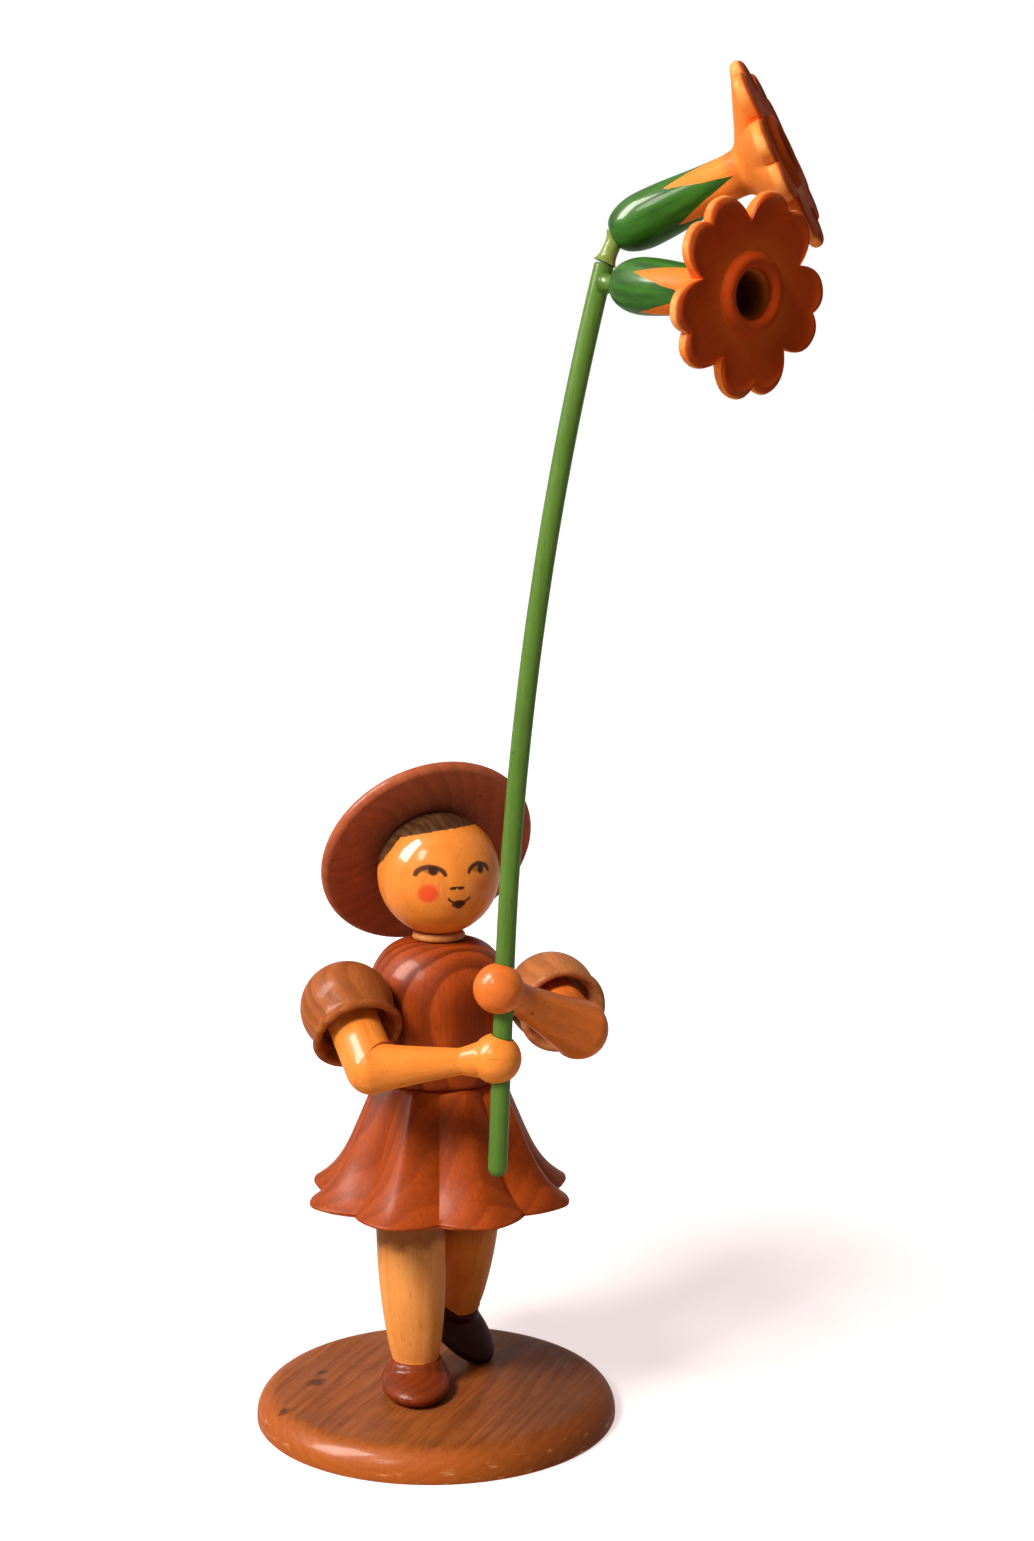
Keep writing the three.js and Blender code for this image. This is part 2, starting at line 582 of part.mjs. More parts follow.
/** A puffed sleeve with a lipped, hollow cuff, hollowed on one side to fit the bodice. */
function makeSleeve(plan) {
  const neckAt = CUFF_REACH - CUFF_NECK_BACK;
  const floor = CUFF_REACH - CUFF_DEPTH;
  const wall = CUFF_LIP;
  const puff = arc(0, 0, SLEEVE_RADIUS, SLEEVE_RADIUS, -90, 15, ROUND_STEPS);
  const cuff = [
    [SLEEVE_NECK_RADIUS, neckAt],
    [CUFF_RADIUS, CUFF_REACH - CUFF_LIP / 2],
    [CUFF_RADIUS - CUFF_LIP / 4, CUFF_REACH],
    [CUFF_RADIUS - CUFF_LIP, CUFF_REACH],
    [SLEEVE_NECK_RADIUS - wall, neckAt],
    [SLEEVE_NECK_RADIUS - wall, floor],
    [0, floor],
  ];
  const frame = frameAlong(plan.shoulder, plan.upperWay);
  const sleeve = turned([[0, -SLEEVE_RADIUS], ...puff.slice(1), ...cuff], SIDES, frame);
  const seat = turned(bodiceProfile(GLUE_GAP), SIDES, frameAt(BODY_X, BODY_Y, 0));
  const tenonEnd = floor - ARM_TENON_LENGTH - HOLE_END;
  const socket = rod(
    along(plan.shoulder, plan.upperWay, CUFF_REACH),
    along(plan.shoulder, plan.upperWay, tenonEnd),
    ARM_TENON_RADIUS + HOLE_PLAY,
  );
  return sleeve.subtract(seat).subtract(socket).subtract(shoulderDowel(plan, HOLE_PLAY, HOLE_END));
}

/** The dowel from a sleeve into the bodice, grown by a margin to make its holes. */
function shoulderDowel(plan, margin = 0, past = 0) {
  const inward = direction(plan.azimuth + 180, 0);
  const surface = SLEEVE_RADIUS - SLEEVE_SEAT;
  const from = along(plan.shoulder, inward, surface - SHOULDER_DOWEL_IN_SLEEVE - past);
  const to = along(plan.shoulder, inward, surface + SHOULDER_DOWEL_IN_BODICE + past);
  return rod(from, to, SHOULDER_DOWEL_RADIUS + margin);
}

/** The upper arm: tenon in the sleeve, round elbow, cut on the mitre. */
function makeUpperArm(plan) {
  const seat = CUFF_REACH - CUFF_DEPTH + GLUE_GAP;
  const profile = [
    [0, seat - ARM_TENON_LENGTH],
    [ARM_TENON_RADIUS, seat - ARM_TENON_LENGTH],
    [ARM_TENON_RADIUS, seat],
    [ARM_RADIUS, seat],
    ...arc(0, UPPER_ARM_LENGTH, ARM_RADIUS, ARM_RADIUS, 0, 90, SHORT_STEPS).slice(0, -1),
    [0, UPPER_ARM_LENGTH + ARM_RADIUS],
  ];
  const arm = turned(profile, SIDES, frameAlong(plan.shoulder, plan.upperWay));
  return arm.subtract(halfSpace(along(plan.elbow, plan.mitre, -GLUE_GAP / 2), plan.mitre));
}

/** The forearm with its ball hand, cut on the mitre and bored for the stem. */
function makeForearm(plan) {
  const way = plan.hand.clone().sub(plan.elbow);
  const length = way.length();
  const meet = length - WRIST_BACK;
  const taper = curve(0, meet, SHORT_STEPS, (s) => {
    return lerp(ARM_RADIUS, WRIST_RADIUS, (s / meet) ** (1 / WRIST_TAPER));
  });
  const elbow = arc(0, 0, ARM_RADIUS, ARM_RADIUS, -90, 0, SHORT_STEPS).slice(1, -1);
  const ball = arc(0, length, HAND_RADIUS, HAND_RADIUS, -HAND_MEETS, 90, ROUND_STEPS).slice(0, -1);
  const profile = [[0, -ARM_RADIUS], ...elbow, ...taper, ...ball, [0, length + HAND_RADIUS]];
  const arm = turned(profile, SIDES, frameAlong(plan.elbow, way));
  const cut = halfSpace(along(plan.elbow, plan.mitre, GLUE_GAP / 2), plan.mitre.clone().negate());
  const bore = rod(
    stemCourse.lineAt(plan.hand.z - 2 * HAND_RADIUS),
    stemCourse.lineAt(plan.hand.z + 2 * HAND_RADIUS),
    STEM_RADIUS + TURN_PLAY,
  );
  return arm.subtract(cut).subtract(bore);
}

/** The bent green stem. */
function makeStem() {
  const section = new THREE.Shape().absarc(0, 0, STEM_RADIUS, 0, 2 * Math.PI);
  const geometry = new THREE.ExtrudeGeometry(section, {
    curveSegments: STEM_SIDES,
    steps: STEM_STEPS,
    extrudePath: stemCourse,
    bevelEnabled: false,
  });
  return solid(geometry);
}

/** The calyx's outline, grown by a margin for what seats on it. */
function calyxProfile(margin = 0) {
  const swell = CALYX_RADIUS - CALYX_BLUNT + margin;
  return arc(CALYX_BLUNT, CALYX_FULLEST, swell, CALYX_FULLEST + margin, -90, 0, SHORT_STEPS);
}

/** A peg with a tenon at each end, seated on the stem and on a calyx. */
function makePeg(from, way, inStem, length, stemBlock, blossomFrame) {
  const egg = [[0, -GLUE_GAP], ...calyxProfile(GLUE_GAP), [0, CALYX_FULLEST]];
  const calyx = turned(egg, PETAL_COUNT * PETAL_SIDES, blossomFrame);
  const meets = along(from, way, length);
  const body = rod(along(from, way, -inStem / 2), meets, PEG_RADIUS).subtract(stemBlock).subtract(calyx);
  const tenonTip = along(meets, way, PEG_TENON_LENGTH);
  return body.add(rod(along(from, way, -inStem), tenonTip, PEG_TENON_RADIUS));
}

/** The holes in stem and calyx for a peg's two tenons. */
function pegHole(from, way, inStem, length) {
  const tip = along(from, way, length + PEG_TENON_LENGTH + HOLE_END);
  return rod(along(from, way, -inStem - HOLE_END), tip, PEG_TENON_RADIUS + HOLE_PLAY);
}

/** A turned trumpet blossom: egg calyx, tube, dished face with a bead round the throat, five petals. */
function makeBlossom(frame) {
  const neck = curve(CALYX_FULLEST, TUBE_LENGTH, SHORT_STEPS, (s) => {
    const share = (s - CALYX_FULLEST) / (TUBE_LENGTH - CALYX_FULLEST);
    return lerp(CALYX_RADIUS, TUBE_RADIUS, (1 - Math.cos(Math.PI * share)) / 2);
  });
  const edge = BLOSSOM_LENGTH - PETAL_EDGE;
  const faceFoot = BLOSSOM_LENGTH - FACE_DISH;
  const root = BEAD_RADIUS + BEAD_HEIGHT;
  const profile = [
    [0, 0],
    ...calyxProfile(),
    ...neck.slice(1),
    [FLARE_ROOT, FLARE_ROOT_AT],
    [lerp(FLARE_ROOT, FLARE_RADIUS, 0.5), lerp(FLARE_ROOT_AT, edge, FLARE_MIDWAY)],
    [FLARE_RADIUS - PETAL_EDGE / 2, edge],
    [FLARE_RADIUS, edge + PETAL_EDGE / 2],
    [FLARE_RADIUS - PETAL_EDGE / 3, BLOSSOM_LENGTH],
    [lerp(BEAD_RADIUS, FLARE_RADIUS, 0.5), BLOSSOM_LENGTH - FACE_MIDWAY * FACE_DISH],
    [root, faceFoot],
    [BEAD_RADIUS, faceFoot + BEAD_HEIGHT],
    [THROAT_RADIUS, faceFoot],
    [THROAT_END_RADIUS, faceFoot - THROAT_DEPTH],
    [0, faceFoot - THROAT_DEPTH],
  ];
  const petals = (radius, s, angle) => {
    const out = (radius - root) / (FLARE_RADIUS - root);
    if (out <= 0) return radius;
    const turn = (PETAL_COUNT / 2) * angle;
    const gap = Math.max(0, 1 - Math.abs(Math.sin(turn)) / PETAL_GAP_SPREAD) ** 2;
    const notch = Math.max(0, 1 - Math.abs(Math.cos(turn)) / PETAL_NOTCH_SPREAD) ** 2;
    return radius - out ** 2 * (PETAL_GAP_DEPTH * gap + PETAL_NOTCH_DEPTH * notch);
  };
  return turned(profile, PETAL_COUNT * PETAL_SIDES, frame, petals);
}

const figure = new THREE.Group();

/** A group that carries a moving part of the figure, set at its own reference point. */
function movingGroup(frame) {
  const group = new THREE.Group();
  group.applyMatrix4(frame);
  figure.add(group);
  return group;
}

// Shoes: the right one flat, the left one up on its toe
const SOLE_Z = BASE_THICKNESS + GLUE_GAP;
const floorBlock = halfSpace(new THREE.Vector3(0, 0, SOLE_Z), UP.clone().negate());
const rightTurn = new THREE.Matrix4().makeRotationZ(radians(-RIGHT_TURN_OUT));
const leftTurn = new THREE.Matrix4().makeRotationZ(radians(LEFT_TURN_OUT));
const toeReach = new THREE.Vector2(SHOE_TOE, SHOE_COLLAR_HEIGHT);
toeReach.rotateAround(new THREE.Vector2(), radians(HEEL_LIFT));

const rightAnkle = new THREE.Vector3(RIGHT_ANKLE_X, RIGHT_ANKLE_Y, SOLE_Z + SHOE_COLLAR_HEIGHT);
const leftAnkle = new THREE.Vector3(LEFT_ANKLE_X, LEFT_ANKLE_Y, SOLE_Z + toeReach.y - TOE_FLAT);
const dropToSole = frameAt(0, 0, -SHOE_COLLAR_HEIGHT);
const rightShoeFrame = frameAt(...rightAnkle).multiply(rightTurn).multiply(dropToSole);
const leftShoeFrame = frameAt(...leftAnkle)
  .multiply(leftTurn)
  .multiply(new THREE.Matrix4().makeRotationX(radians(HEEL_LIFT)))
  .multiply(dropToSole);

/** The place on the base's top where a shoe's dowel stands, ahead of the ankle. */
function dowelPlace(ankle, turn, ahead) {
  return along(new THREE.Vector3(ankle.x, ankle.y, BASE_THICKNESS), direction(-90 + turn, 0), ahead);
}

const legSpread = LEG_CALF_RADIUS + LEG_GAP / 2;
const legs = [
  {
    side: "right",
    ankle: rightAnkle,
    hip: new THREE.Vector3(BODY_X - legSpread, BODY_Y, CEILING_Z),
    shoeFrame: rightShoeFrame,
    dowelAt: dowelPlace(rightAnkle, -RIGHT_TURN_OUT, FOOT_DOWEL_AHEAD),
  },
  {
    side: "left",
    ankle: leftAnkle,
    hip: new THREE.Vector3(BODY_X + legSpread, BODY_Y, CEILING_Z),
    shoeFrame: leftShoeFrame,
    dowelAt: dowelPlace(leftAnkle, LEFT_TURN_OUT, toeReach.x - FOOT_DOWEL_BEHIND_TOE),
  },
];

let base = makeBase();
let skirt = makeSkirt();
for (const leg of legs) {
  const collarWay = new THREE.Vector3().setFromMatrixColumn(leg.shoeFrame, 2);
  const dowelHole = footDowel(leg.dowelAt, HOLE_PLAY, HOLE_END);
  base = base.subtract(dowelHole);
  skirt = skirt.subtract(legSocket(leg.ankle, leg.hip));
  const shoe = makeShoe(leg.shoeFrame)
    .subtract(floorBlock)
    .subtract(ankleSocket(leg.ankle, leg.hip))
    .subtract(dowelHole);
  addPiece(figure, `${leg.side}_shoe`, shoe, WOOD_SHOE, leg.shoeFrame);
  addPiece(figure, `${leg.side}_foot_dowel`, footDowel(leg.dowelAt), WOOD_PLAIN, frameAt(...leg.dowelAt));
  const shank = makeLeg(leg.ankle, leg.hip, collarWay);
  addPiece(figure, `${leg.side}_leg`, shank, WOOD_HONEY, frameAt(...leg.ankle));
}
addPiece(figure, "base_disc", base, WOOD_BROWN, new THREE.Matrix4());

// Skirt, bodice and neck on one axis
const bodyFrame = (z) => frameAt(BODY_X, BODY_Y, z);
const waistHole = rod(
  bodyPoint(WAIST_Z - WAIST_DOWEL_REACH - HOLE_END), bodyPoint(WAIST_Z + WAIST_DOWEL_REACH + HOLE_END),
  WAIST_DOWEL_RADIUS + HOLE_PLAY,
);
const neckFoot = BODICE_TOP_Z - NECK_DOWEL_IN_BODICE;
const neckTip = HEAD_FLAT_Z + NECK_DOWEL_IN_HEAD;
const neckHole = rod(bodyPoint(neckFoot - HOLE_END), bodyPoint(neckTip), NECK_DOWEL_RADIUS + HOLE_PLAY);
const waistDowel = rod(
  bodyPoint(WAIST_Z - WAIST_DOWEL_REACH), bodyPoint(WAIST_Z + WAIST_DOWEL_REACH), WAIST_DOWEL_RADIUS,
);
addPiece(figure, "skirt", skirt.subtract(waistHole), WOOD_RED, bodyFrame(HEM_Z));
addPiece(figure, "waist_dowel", waistDowel, WOOD_PLAIN, bodyFrame(WAIST_Z));
addPiece(figure, "neck_collar", makeCollar().subtract(neckHole), WOOD_PLAIN, bodyFrame(COLLAR_Z));
const neckDowel = rod(bodyPoint(neckFoot), bodyPoint(neckTip), NECK_DOWEL_RADIUS);
addPiece(figure, "neck_dowel", neckDowel, WOOD_PLAIN, bodyFrame(neckFoot));

// Arms: each sleeve, upper arm and forearm in a chain from the bodice to the stem
const arms = {
  right: armPlan({
    side: -1,
    rise: RIGHT_SHOULDER_RISE,
    drop: RIGHT_ARM_DROP,
    inward: RIGHT_ARM_INWARD,
    handRise: RIGHT_HAND_RISE,
    boreBeyond: RIGHT_BORE_BEYOND,
  }),
  left: armPlan({
    side: 1,
    rise: LEFT_SHOULDER_RISE,
    drop: LEFT_ARM_DROP,
    inward: LEFT_ARM_INWARD,
    handRise: LEFT_HAND_RISE,
    boreBeyond: LEFT_BORE_BEYOND,
  }),
};
let bodice = turned(bodiceProfile(), SIDES, bodyFrame(0)).subtract(waistHole).subtract(neckHole);
for (const [side, plan] of Object.entries(arms)) {
  bodice = bodice.subtract(shoulderDowel(plan, HOLE_PLAY, HOLE_END));
  const upperFrame = frameAlong(plan.shoulder, plan.upperWay);
  addPiece(figure, `${side}_sleeve`, makeSleeve(plan), WOOD_SLEEVE, upperFrame);
  addPiece(figure, `${side}_shoulder_dowel`, shoulderDowel(plan), WOOD_PLAIN, frameAt(...plan.shoulder));
  addPiece(figure, `${side}_upper_arm`, makeUpperArm(plan), WOOD_HONEY, upperFrame);
  addPiece(figure, `${side}_forearm`, makeForearm(plan), WOOD_HONEY, frameAlong(plan.elbow, plan.lowerWay));
}
addPiece(figure, "bodice", bodice, WOOD_RED, bodyFrame(BODICE_Z));

// Head and hat, turning together on the neck dowel
const headFrame = frameAt(...HEAD_CENTRE);
const headGroup = movingGroup(headFrame);
const hatFrame = frameAlong(HEAD_CENTRE, direction(90, HAT_TILT));
addPiece(headGroup, "head", makeHead(), WOOD_HONEY, headFrame);
addPiece(headGroup, "hat", makeHat(hatFrame), WOOD_DARK, hatFrame);

// The flower, which lifts out of the two hands
const stemLength = STEM_STRAIGHT + STEM_ARC;
const stemFrame = frameAlong(stemFoot, stemCourse.way);
const flowerGroup = movingGroup(stemFrame);
const stemTop = stemCourse.pointAt(stemLength);
const stemTopWay = stemCourse.tangentAt(stemLength);
const lowerSeat = stemCourse.pointAt(stemLength - LOWER_BLOSSOM_DROP);
const lowerSeatWay = stemCourse.tangentAt(stemLength - LOWER_BLOSSOM_DROP);
const lowerBlossomWay = direction(LOWER_BLOSSOM_AZIMUTH, LOWER_BLOSSOM_RISE);
const blossoms = [
  {
    level: "upper",
    from: stemTop,
    pegWay: direction(STEM_LEAN_AZIMUTH, 90 - UPPER_PEG_LEAN),
    inStem: UPPER_TENON_IN_STEM,
    length: UPPER_PEG_LENGTH,
    way: direction(UPPER_BLOSSOM_AZIMUTH, UPPER_BLOSSOM_RISE),
    spin: UPPER_BLOSSOM_SPIN,
    stemBlock: halfSpace(along(stemTop, stemTopWay, GLUE_GAP), stemTopWay.clone().negate()),
  },
  {
    level: "lower",
    from: lowerSeat,
    pegWay: lowerBlossomWay,
    inStem: LOWER_TENON_PAST,
    length: LOWER_PEG_LENGTH,
    way: lowerBlossomWay,
    spin: LOWER_BLOSSOM_SPIN,
    stemBlock: rod(
      along(lowerSeat, lowerSeatWay, -CALYX_RADIUS),
      along(lowerSeat, lowerSeatWay, CALYX_RADIUS),
      STEM_RADIUS + GLUE_GAP,
    ),
  },
];
let stem = makeStem();
for (const { level, from, pegWay, inStem, length, way, spin, stemBlock } of blossoms) {
  const meets = along(from, pegWay, length);
  const frame = frameAlong(along(meets, way, -PEG_MEETS), way, spin);
  const hole = pegHole(from, pegWay, inStem, length);
  stem = stem.subtract(hole);
  const peg = makePeg(from, pegWay, inStem, length, stemBlock, frame);
  addPiece(flowerGroup, `${level}_flower_peg`, peg, PAINT_PALE_GREEN, frameAlong(from, pegWay));
  addPiece(flowerGroup, `${level}_blossom`, makeBlossom(frame).subtract(hole), PAINT_ORANGE, frame);
}
addPiece(flowerGroup, "flower_stem", stem, PAINT_GREEN, stemFrame);

export default figure;
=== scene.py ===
"""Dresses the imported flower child: smooth turned wood, stains and paint, a pale studio and the camera."""

from __future__ import annotations

import json
import logging
import math
from collections.abc import Callable
from dataclasses import dataclass
from enum import Enum
from functools import reduce

import bmesh
import bpy
from mathutils import Color, Matrix, Quaternion, Vector

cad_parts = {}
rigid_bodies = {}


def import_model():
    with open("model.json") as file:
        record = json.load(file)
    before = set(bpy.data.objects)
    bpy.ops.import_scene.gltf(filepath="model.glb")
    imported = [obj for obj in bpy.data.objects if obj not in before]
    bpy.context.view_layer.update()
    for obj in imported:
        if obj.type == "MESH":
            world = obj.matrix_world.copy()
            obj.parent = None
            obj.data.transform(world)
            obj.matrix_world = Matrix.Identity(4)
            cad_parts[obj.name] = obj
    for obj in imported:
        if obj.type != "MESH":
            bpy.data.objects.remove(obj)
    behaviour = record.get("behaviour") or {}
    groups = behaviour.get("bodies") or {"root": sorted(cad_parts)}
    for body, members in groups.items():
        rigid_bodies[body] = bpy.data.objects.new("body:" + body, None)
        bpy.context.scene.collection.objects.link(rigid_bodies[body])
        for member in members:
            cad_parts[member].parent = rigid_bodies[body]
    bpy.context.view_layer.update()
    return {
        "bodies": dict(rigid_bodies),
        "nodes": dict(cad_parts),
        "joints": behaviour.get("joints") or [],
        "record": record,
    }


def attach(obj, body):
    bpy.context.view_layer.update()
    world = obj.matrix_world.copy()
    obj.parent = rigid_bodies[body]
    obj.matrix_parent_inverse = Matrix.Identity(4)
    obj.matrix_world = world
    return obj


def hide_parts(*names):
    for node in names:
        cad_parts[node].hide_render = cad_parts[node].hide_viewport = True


LOG = logging.getLogger("flower_child")
MM = 0.001
UP = Vector((0.0, 0.0, 1.0))
IDENTITY = Matrix.Identity(4)
LEVEL = (1.0, 1.0, 0.0)
AXIS = (0.0, 0.0)
OWN_AXES = "turned"
SHARP_FROM = math.radians(42)
ON_AXIS = 1e-6
BASE_RADIUS = 17.85
PETAL_REACH = 8.75
SOCKETS = {float: "NodeSocketFloat", int: "NodeSocketInt", tuple: "NodeSocketVector"}

Pair = tuple[float, float]
Triple = tuple[float, float, float]
Profile = list[Pair]
Colour = tuple[int, int, int]
Socket = bpy.types.NodeSocket
Node = bpy.types.Node
Tree = bpy.types.NodeTree
Material = bpy.types.Material
Object = bpy.types.Object
EditMesh = bmesh.types.BMesh


class Body(Enum):
    """The bodies of the frame that pieces ride on."""

    FIGURE = "figure"
    HEAD = "head"
    FLOWER = "flower"


class Slot(Enum):
    """The record's material slots."""

    BASE = "base_wood"
    SHOE = "shoe_wood"
    SKIN = "skin_wood"
    DRESS = "dress_wood"
    SLEEVE = "sleeve_wood"
    HAT = "hat_wood"
    PLAIN = "plain_wood"
    STEM = "stem_green"
    PEG = "peg_green"
    BLOSSOM = "blossom_orange"


class Coordinates(Enum):
    """Where a finish reads its pattern: on the piece's own turning axis, or in the shared frame."""

    OWN_AXIS = "own axis"
    FRAME = "frame"


class Joinery(Enum):
    """What a tool's shape does to a piece."""

    CUT = "DIFFERENCE"
    ADD = "UNION"


def lerp(start: float, end: float, share: float) -> float:
    """Returns the value a share of the way from start to end."""
    return start + (end - start) * share


def shares(steps: int) -> list[float]:
    """Returns the shares from 0 to 1 that bound equal steps."""
    return [i / steps for i in range(steps + 1)]


def direction(azimuth: float, rise: float) -> Vector:
    """Returns the unit vector of a direction.

    Args:
        azimuth: The angle from +X over the floor, in degrees.
        rise: The angle above the floor, in degrees.

    Returns:
        The vector.
    """
    flat = math.cos(math.radians(rise))
    turn = math.radians(azimuth)
    return Vector((flat * math.cos(turn), flat * math.sin(turn), math.sin(math.radians(rise))))


def frame_along(origin: Vector, way: Vector, spin: float = 0.0) -> Matrix:
    """Returns a frame at origin whose Z runs along a way.

    Args:
        origin: The frame's origin, in millimetres.
        way: The direction of the frame's Z axis.
        spin: A further turn about that axis, in degrees.

    Returns:
        The frame as a matrix.
    """
    turn = UP.rotation_difference(way.normalized()) @ Quaternion(UP, math.radians(spin))
    return Matrix.Translation(origin) @ turn.to_matrix().to_4x4()


def arc(centre: Pair, size: Pair, span: Pair, steps: int) -> Profile:
    """Returns points of an ellipse's arc in a profile.

    Args:
        centre: The ellipse's centre, as radius and height.
        size: Its half width and half height.
        span: The first and the last angle, in degrees from outwards.
        steps: The number of spans.

    Returns:
        The points, both ends among them.
    """
    angles = [math.radians(lerp(*span, share)) for share in shares(steps)]
    return [(centre[0] + size[0] * math.cos(a), centre[1] + size[1] * math.sin(a)) for a in angles]


def bow(centre: Pair, radius: float, span: Pair, steps: int) -> Profile:
    """Returns points of a circle's arc in a profile, given as for an ellipse's."""
    return arc(centre, (radius, radius), span, steps)


def flowing(points: Profile, spans: int = 6) -> Profile:
    """Returns a smooth line through points.

    Args:
        points: The points that it passes through.
        spans: The number of spans between two points.

    Returns:
        The points of the line, both ends among them.
    """
    ends = [points[0], *points, points[-1]]
    line: Profile = []
    for before, start, end, after in zip(ends, ends[1:], ends[2:], ends[3:]):
        for t in shares(spans)[:-1]:
            line.append(tuple(
                0.5 * (2 * b + (c - a) * t + (2 * a - 5 * b + 4 * c - d) * t**2
                       + (3 * b - a - 3 * c + d) * t**3)
                for a, b, c, d in zip(before, start, end, after)
            ))
    return [*line, points[-1]]


def tone(colour: Colour) -> tuple[float, float, float, float]:
    """Returns a screen colour of 0 to 255 as the linear colour that a socket takes."""
    return (*Color([c / 255 for c in colour]).from_srgb_to_scene_linear(), 1.0)


def darker(colour: Colour, share: float) -> Colour:
    """Returns a screen colour with only a share of its brightness."""
    return tuple(int(c * share) for c in colour)


def stand(name: str, data: bpy.types.ID) -> Object:
    """Puts a mesh, a lamp or a camera into the scene.

    Args:
        name: The object's name.
        data: What the object holds.

    Returns:
        The object.
    """
    obj = bpy.data.objects.new(name, data)
    bpy.context.scene.collection.objects.link(obj)
    return obj


class Wiring:
    """Adds nodes to one tree and joins their sockets."""

    def __init__(self, tree: Tree) -> None:
        """Keeps the tree."""
        self.tree = tree

    @classmethod
    def fresh(cls, holder: Material | bpy.types.World) -> Wiring:
        """Empties the node tree of a material or a world.

        Args:
            holder: The material or the world.

        Returns:
            The wiring of its empty tree.
        """
        holder.use_nodes = True
        holder.node_tree.nodes.clear()
        return cls(holder.node_tree)

    def feed(self, socket: Socket, value: object) -> None:
        """Gives an input what it takes.

        Args:
            socket: The input.
            value: A socket to link to it, or a plain value to set it to.
        """
        if isinstance(value, Socket):
            self.tree.links.new(value, socket)
        else:
            socket.default_value = value

    def add(self, kind: str, inputs: dict[str | int, object] | None = None, **settings: object) -> Node:
        """Adds a node.

        Args:
            kind: The node's type.
            inputs: Sockets or values for its inputs.
            settings: Values for its properties.

        Returns:
            The node.
        """
        node = self.tree.nodes.new(kind)
        for name, value in settings.items():
            setattr(node, name, value)
        for key, value in (inputs or {}).items():
            self.feed(node.inputs[key], value)
        return node

    def place(self, group: Tree, inputs: dict[str, object]) -> bpy.types.NodeOutputs:
        """Returns the outputs of a shader group that is placed here with its own values."""
        return self.add("ShaderNodeGroup", inputs, node_tree=group).outputs

    def math(self, operation: str, *values: object) -> Socket:
        """Returns the result of a Math node."""
        return self.add("ShaderNodeMath", dict(enumerate(values)), operation=operation).outputs[0]

    def times(self, *values: object) -> Socket:
        """Returns the product of values."""
        return reduce(lambda product, value: self.math("MULTIPLY", product, value), values)

    def either(self, *masks: object) -> Socket:
        """Returns the strongest of some masks."""
        return reduce(lambda strongest, mask: self.math("MAXIMUM", strongest, mask), masks)

    def vector(self, operation: str, *values: object) -> Socket:
        """Returns the result of a Vector Math node, a number for a length."""
        node = self.add("ShaderNodeVectorMath", dict(enumerate(values)), operation=operation)
        return node.outputs["Value" if operation in ("LENGTH", "DOT_PRODUCT") else "Vector"]

    def split(self, vector: object) -> tuple[Socket, ...]:
        """Returns the three parts of a vector."""
        return tuple(self.add("ShaderNodeSeparateXYZ", {0: vector}).outputs)

    def join(self, x: object, y: object, z: object) -> Socket:
        """Returns a vector of three parts."""
        return self.add("ShaderNodeCombineXYZ", {0: x, 1: y, 2: z}).outputs[0]

    def reach(self, vector: object) -> Socket:
        """Returns a place's distance from the Z axis."""
        return self.vector("LENGTH", self.vector("MULTIPLY", vector, LEVEL))

    def angle(self, vector: object) -> Socket:
        """Returns a place's angle about the Z axis, from the front."""
        x, y, _ = self.split(vector)
        return self.math("ARCTAN2", x, self.times(y, -1.0))

    def ramp(self, value: object, low: object, high: object, start: float = 0.0, end: float = 1.0) -> Socket:
        """Returns a soft step.

        Args:
            value: The value that is stepped.
            low: Where the step starts.
            high: Where it ends.
            start: The result at low.
            end: The result at high.

        Returns:
            The result's socket.
        """
        inputs = {0: value, 1: low, 2: high, 3: start, 4: end}
        return self.add("ShaderNodeMapRange", inputs, interpolation_type="SMOOTHSTEP").outputs[0]

    def blend(self, share: object, first: object, second: object) -> Socket:
        """Returns one colour blended into another by a share."""
        inputs = {0: share, 6: first, 7: second}
        return self.add("ShaderNodeMix", inputs, data_type="RGBA").outputs[2]

    def noise(self, vector: object, scale: float, detail: float = 3.0, rough: float = 0.5) -> Socket:
        """Returns a Noise texture's value."""
        inputs = {"Vector": vector, "Scale": scale, "Detail": detail, "Roughness": rough}
        return self.add("ShaderNodeTexNoise", inputs).outputs[0]

    def ragged(self, vector: object, scale: float, width: float, rough: float = 0.5) -> Socket:
        """Returns noise about zero, of a width from end to end."""
        return self.math("MULTIPLY_ADD", self.noise(vector, scale, rough=rough), width, -width / 2)

    def stretched(self, vector: object, across: float, along: float) -> Socket:
        """Returns a vector scaled across and along its Z axis."""
        return self.vector("MULTIPLY", vector, (across, across, along))

    def streaks(
        self, vector: object, scale: Pair, band: Pair, detail: float = 3.0, rough: float = 0.5
    ) -> Socket:
        """Returns a soft-edged mask of noise that is drawn out along Z.

        Args:
            vector: The place.
            scale: The noise's scale across and along the Z axis.
            band: Between which values of the noise the mask rises.
            detail: The noise's detail.
            rough: Its roughness.

        Returns:
            The mask.
        """
        return self.ramp(self.noise(self.stretched(vector, *scale), 1.0, detail, rough), *band)


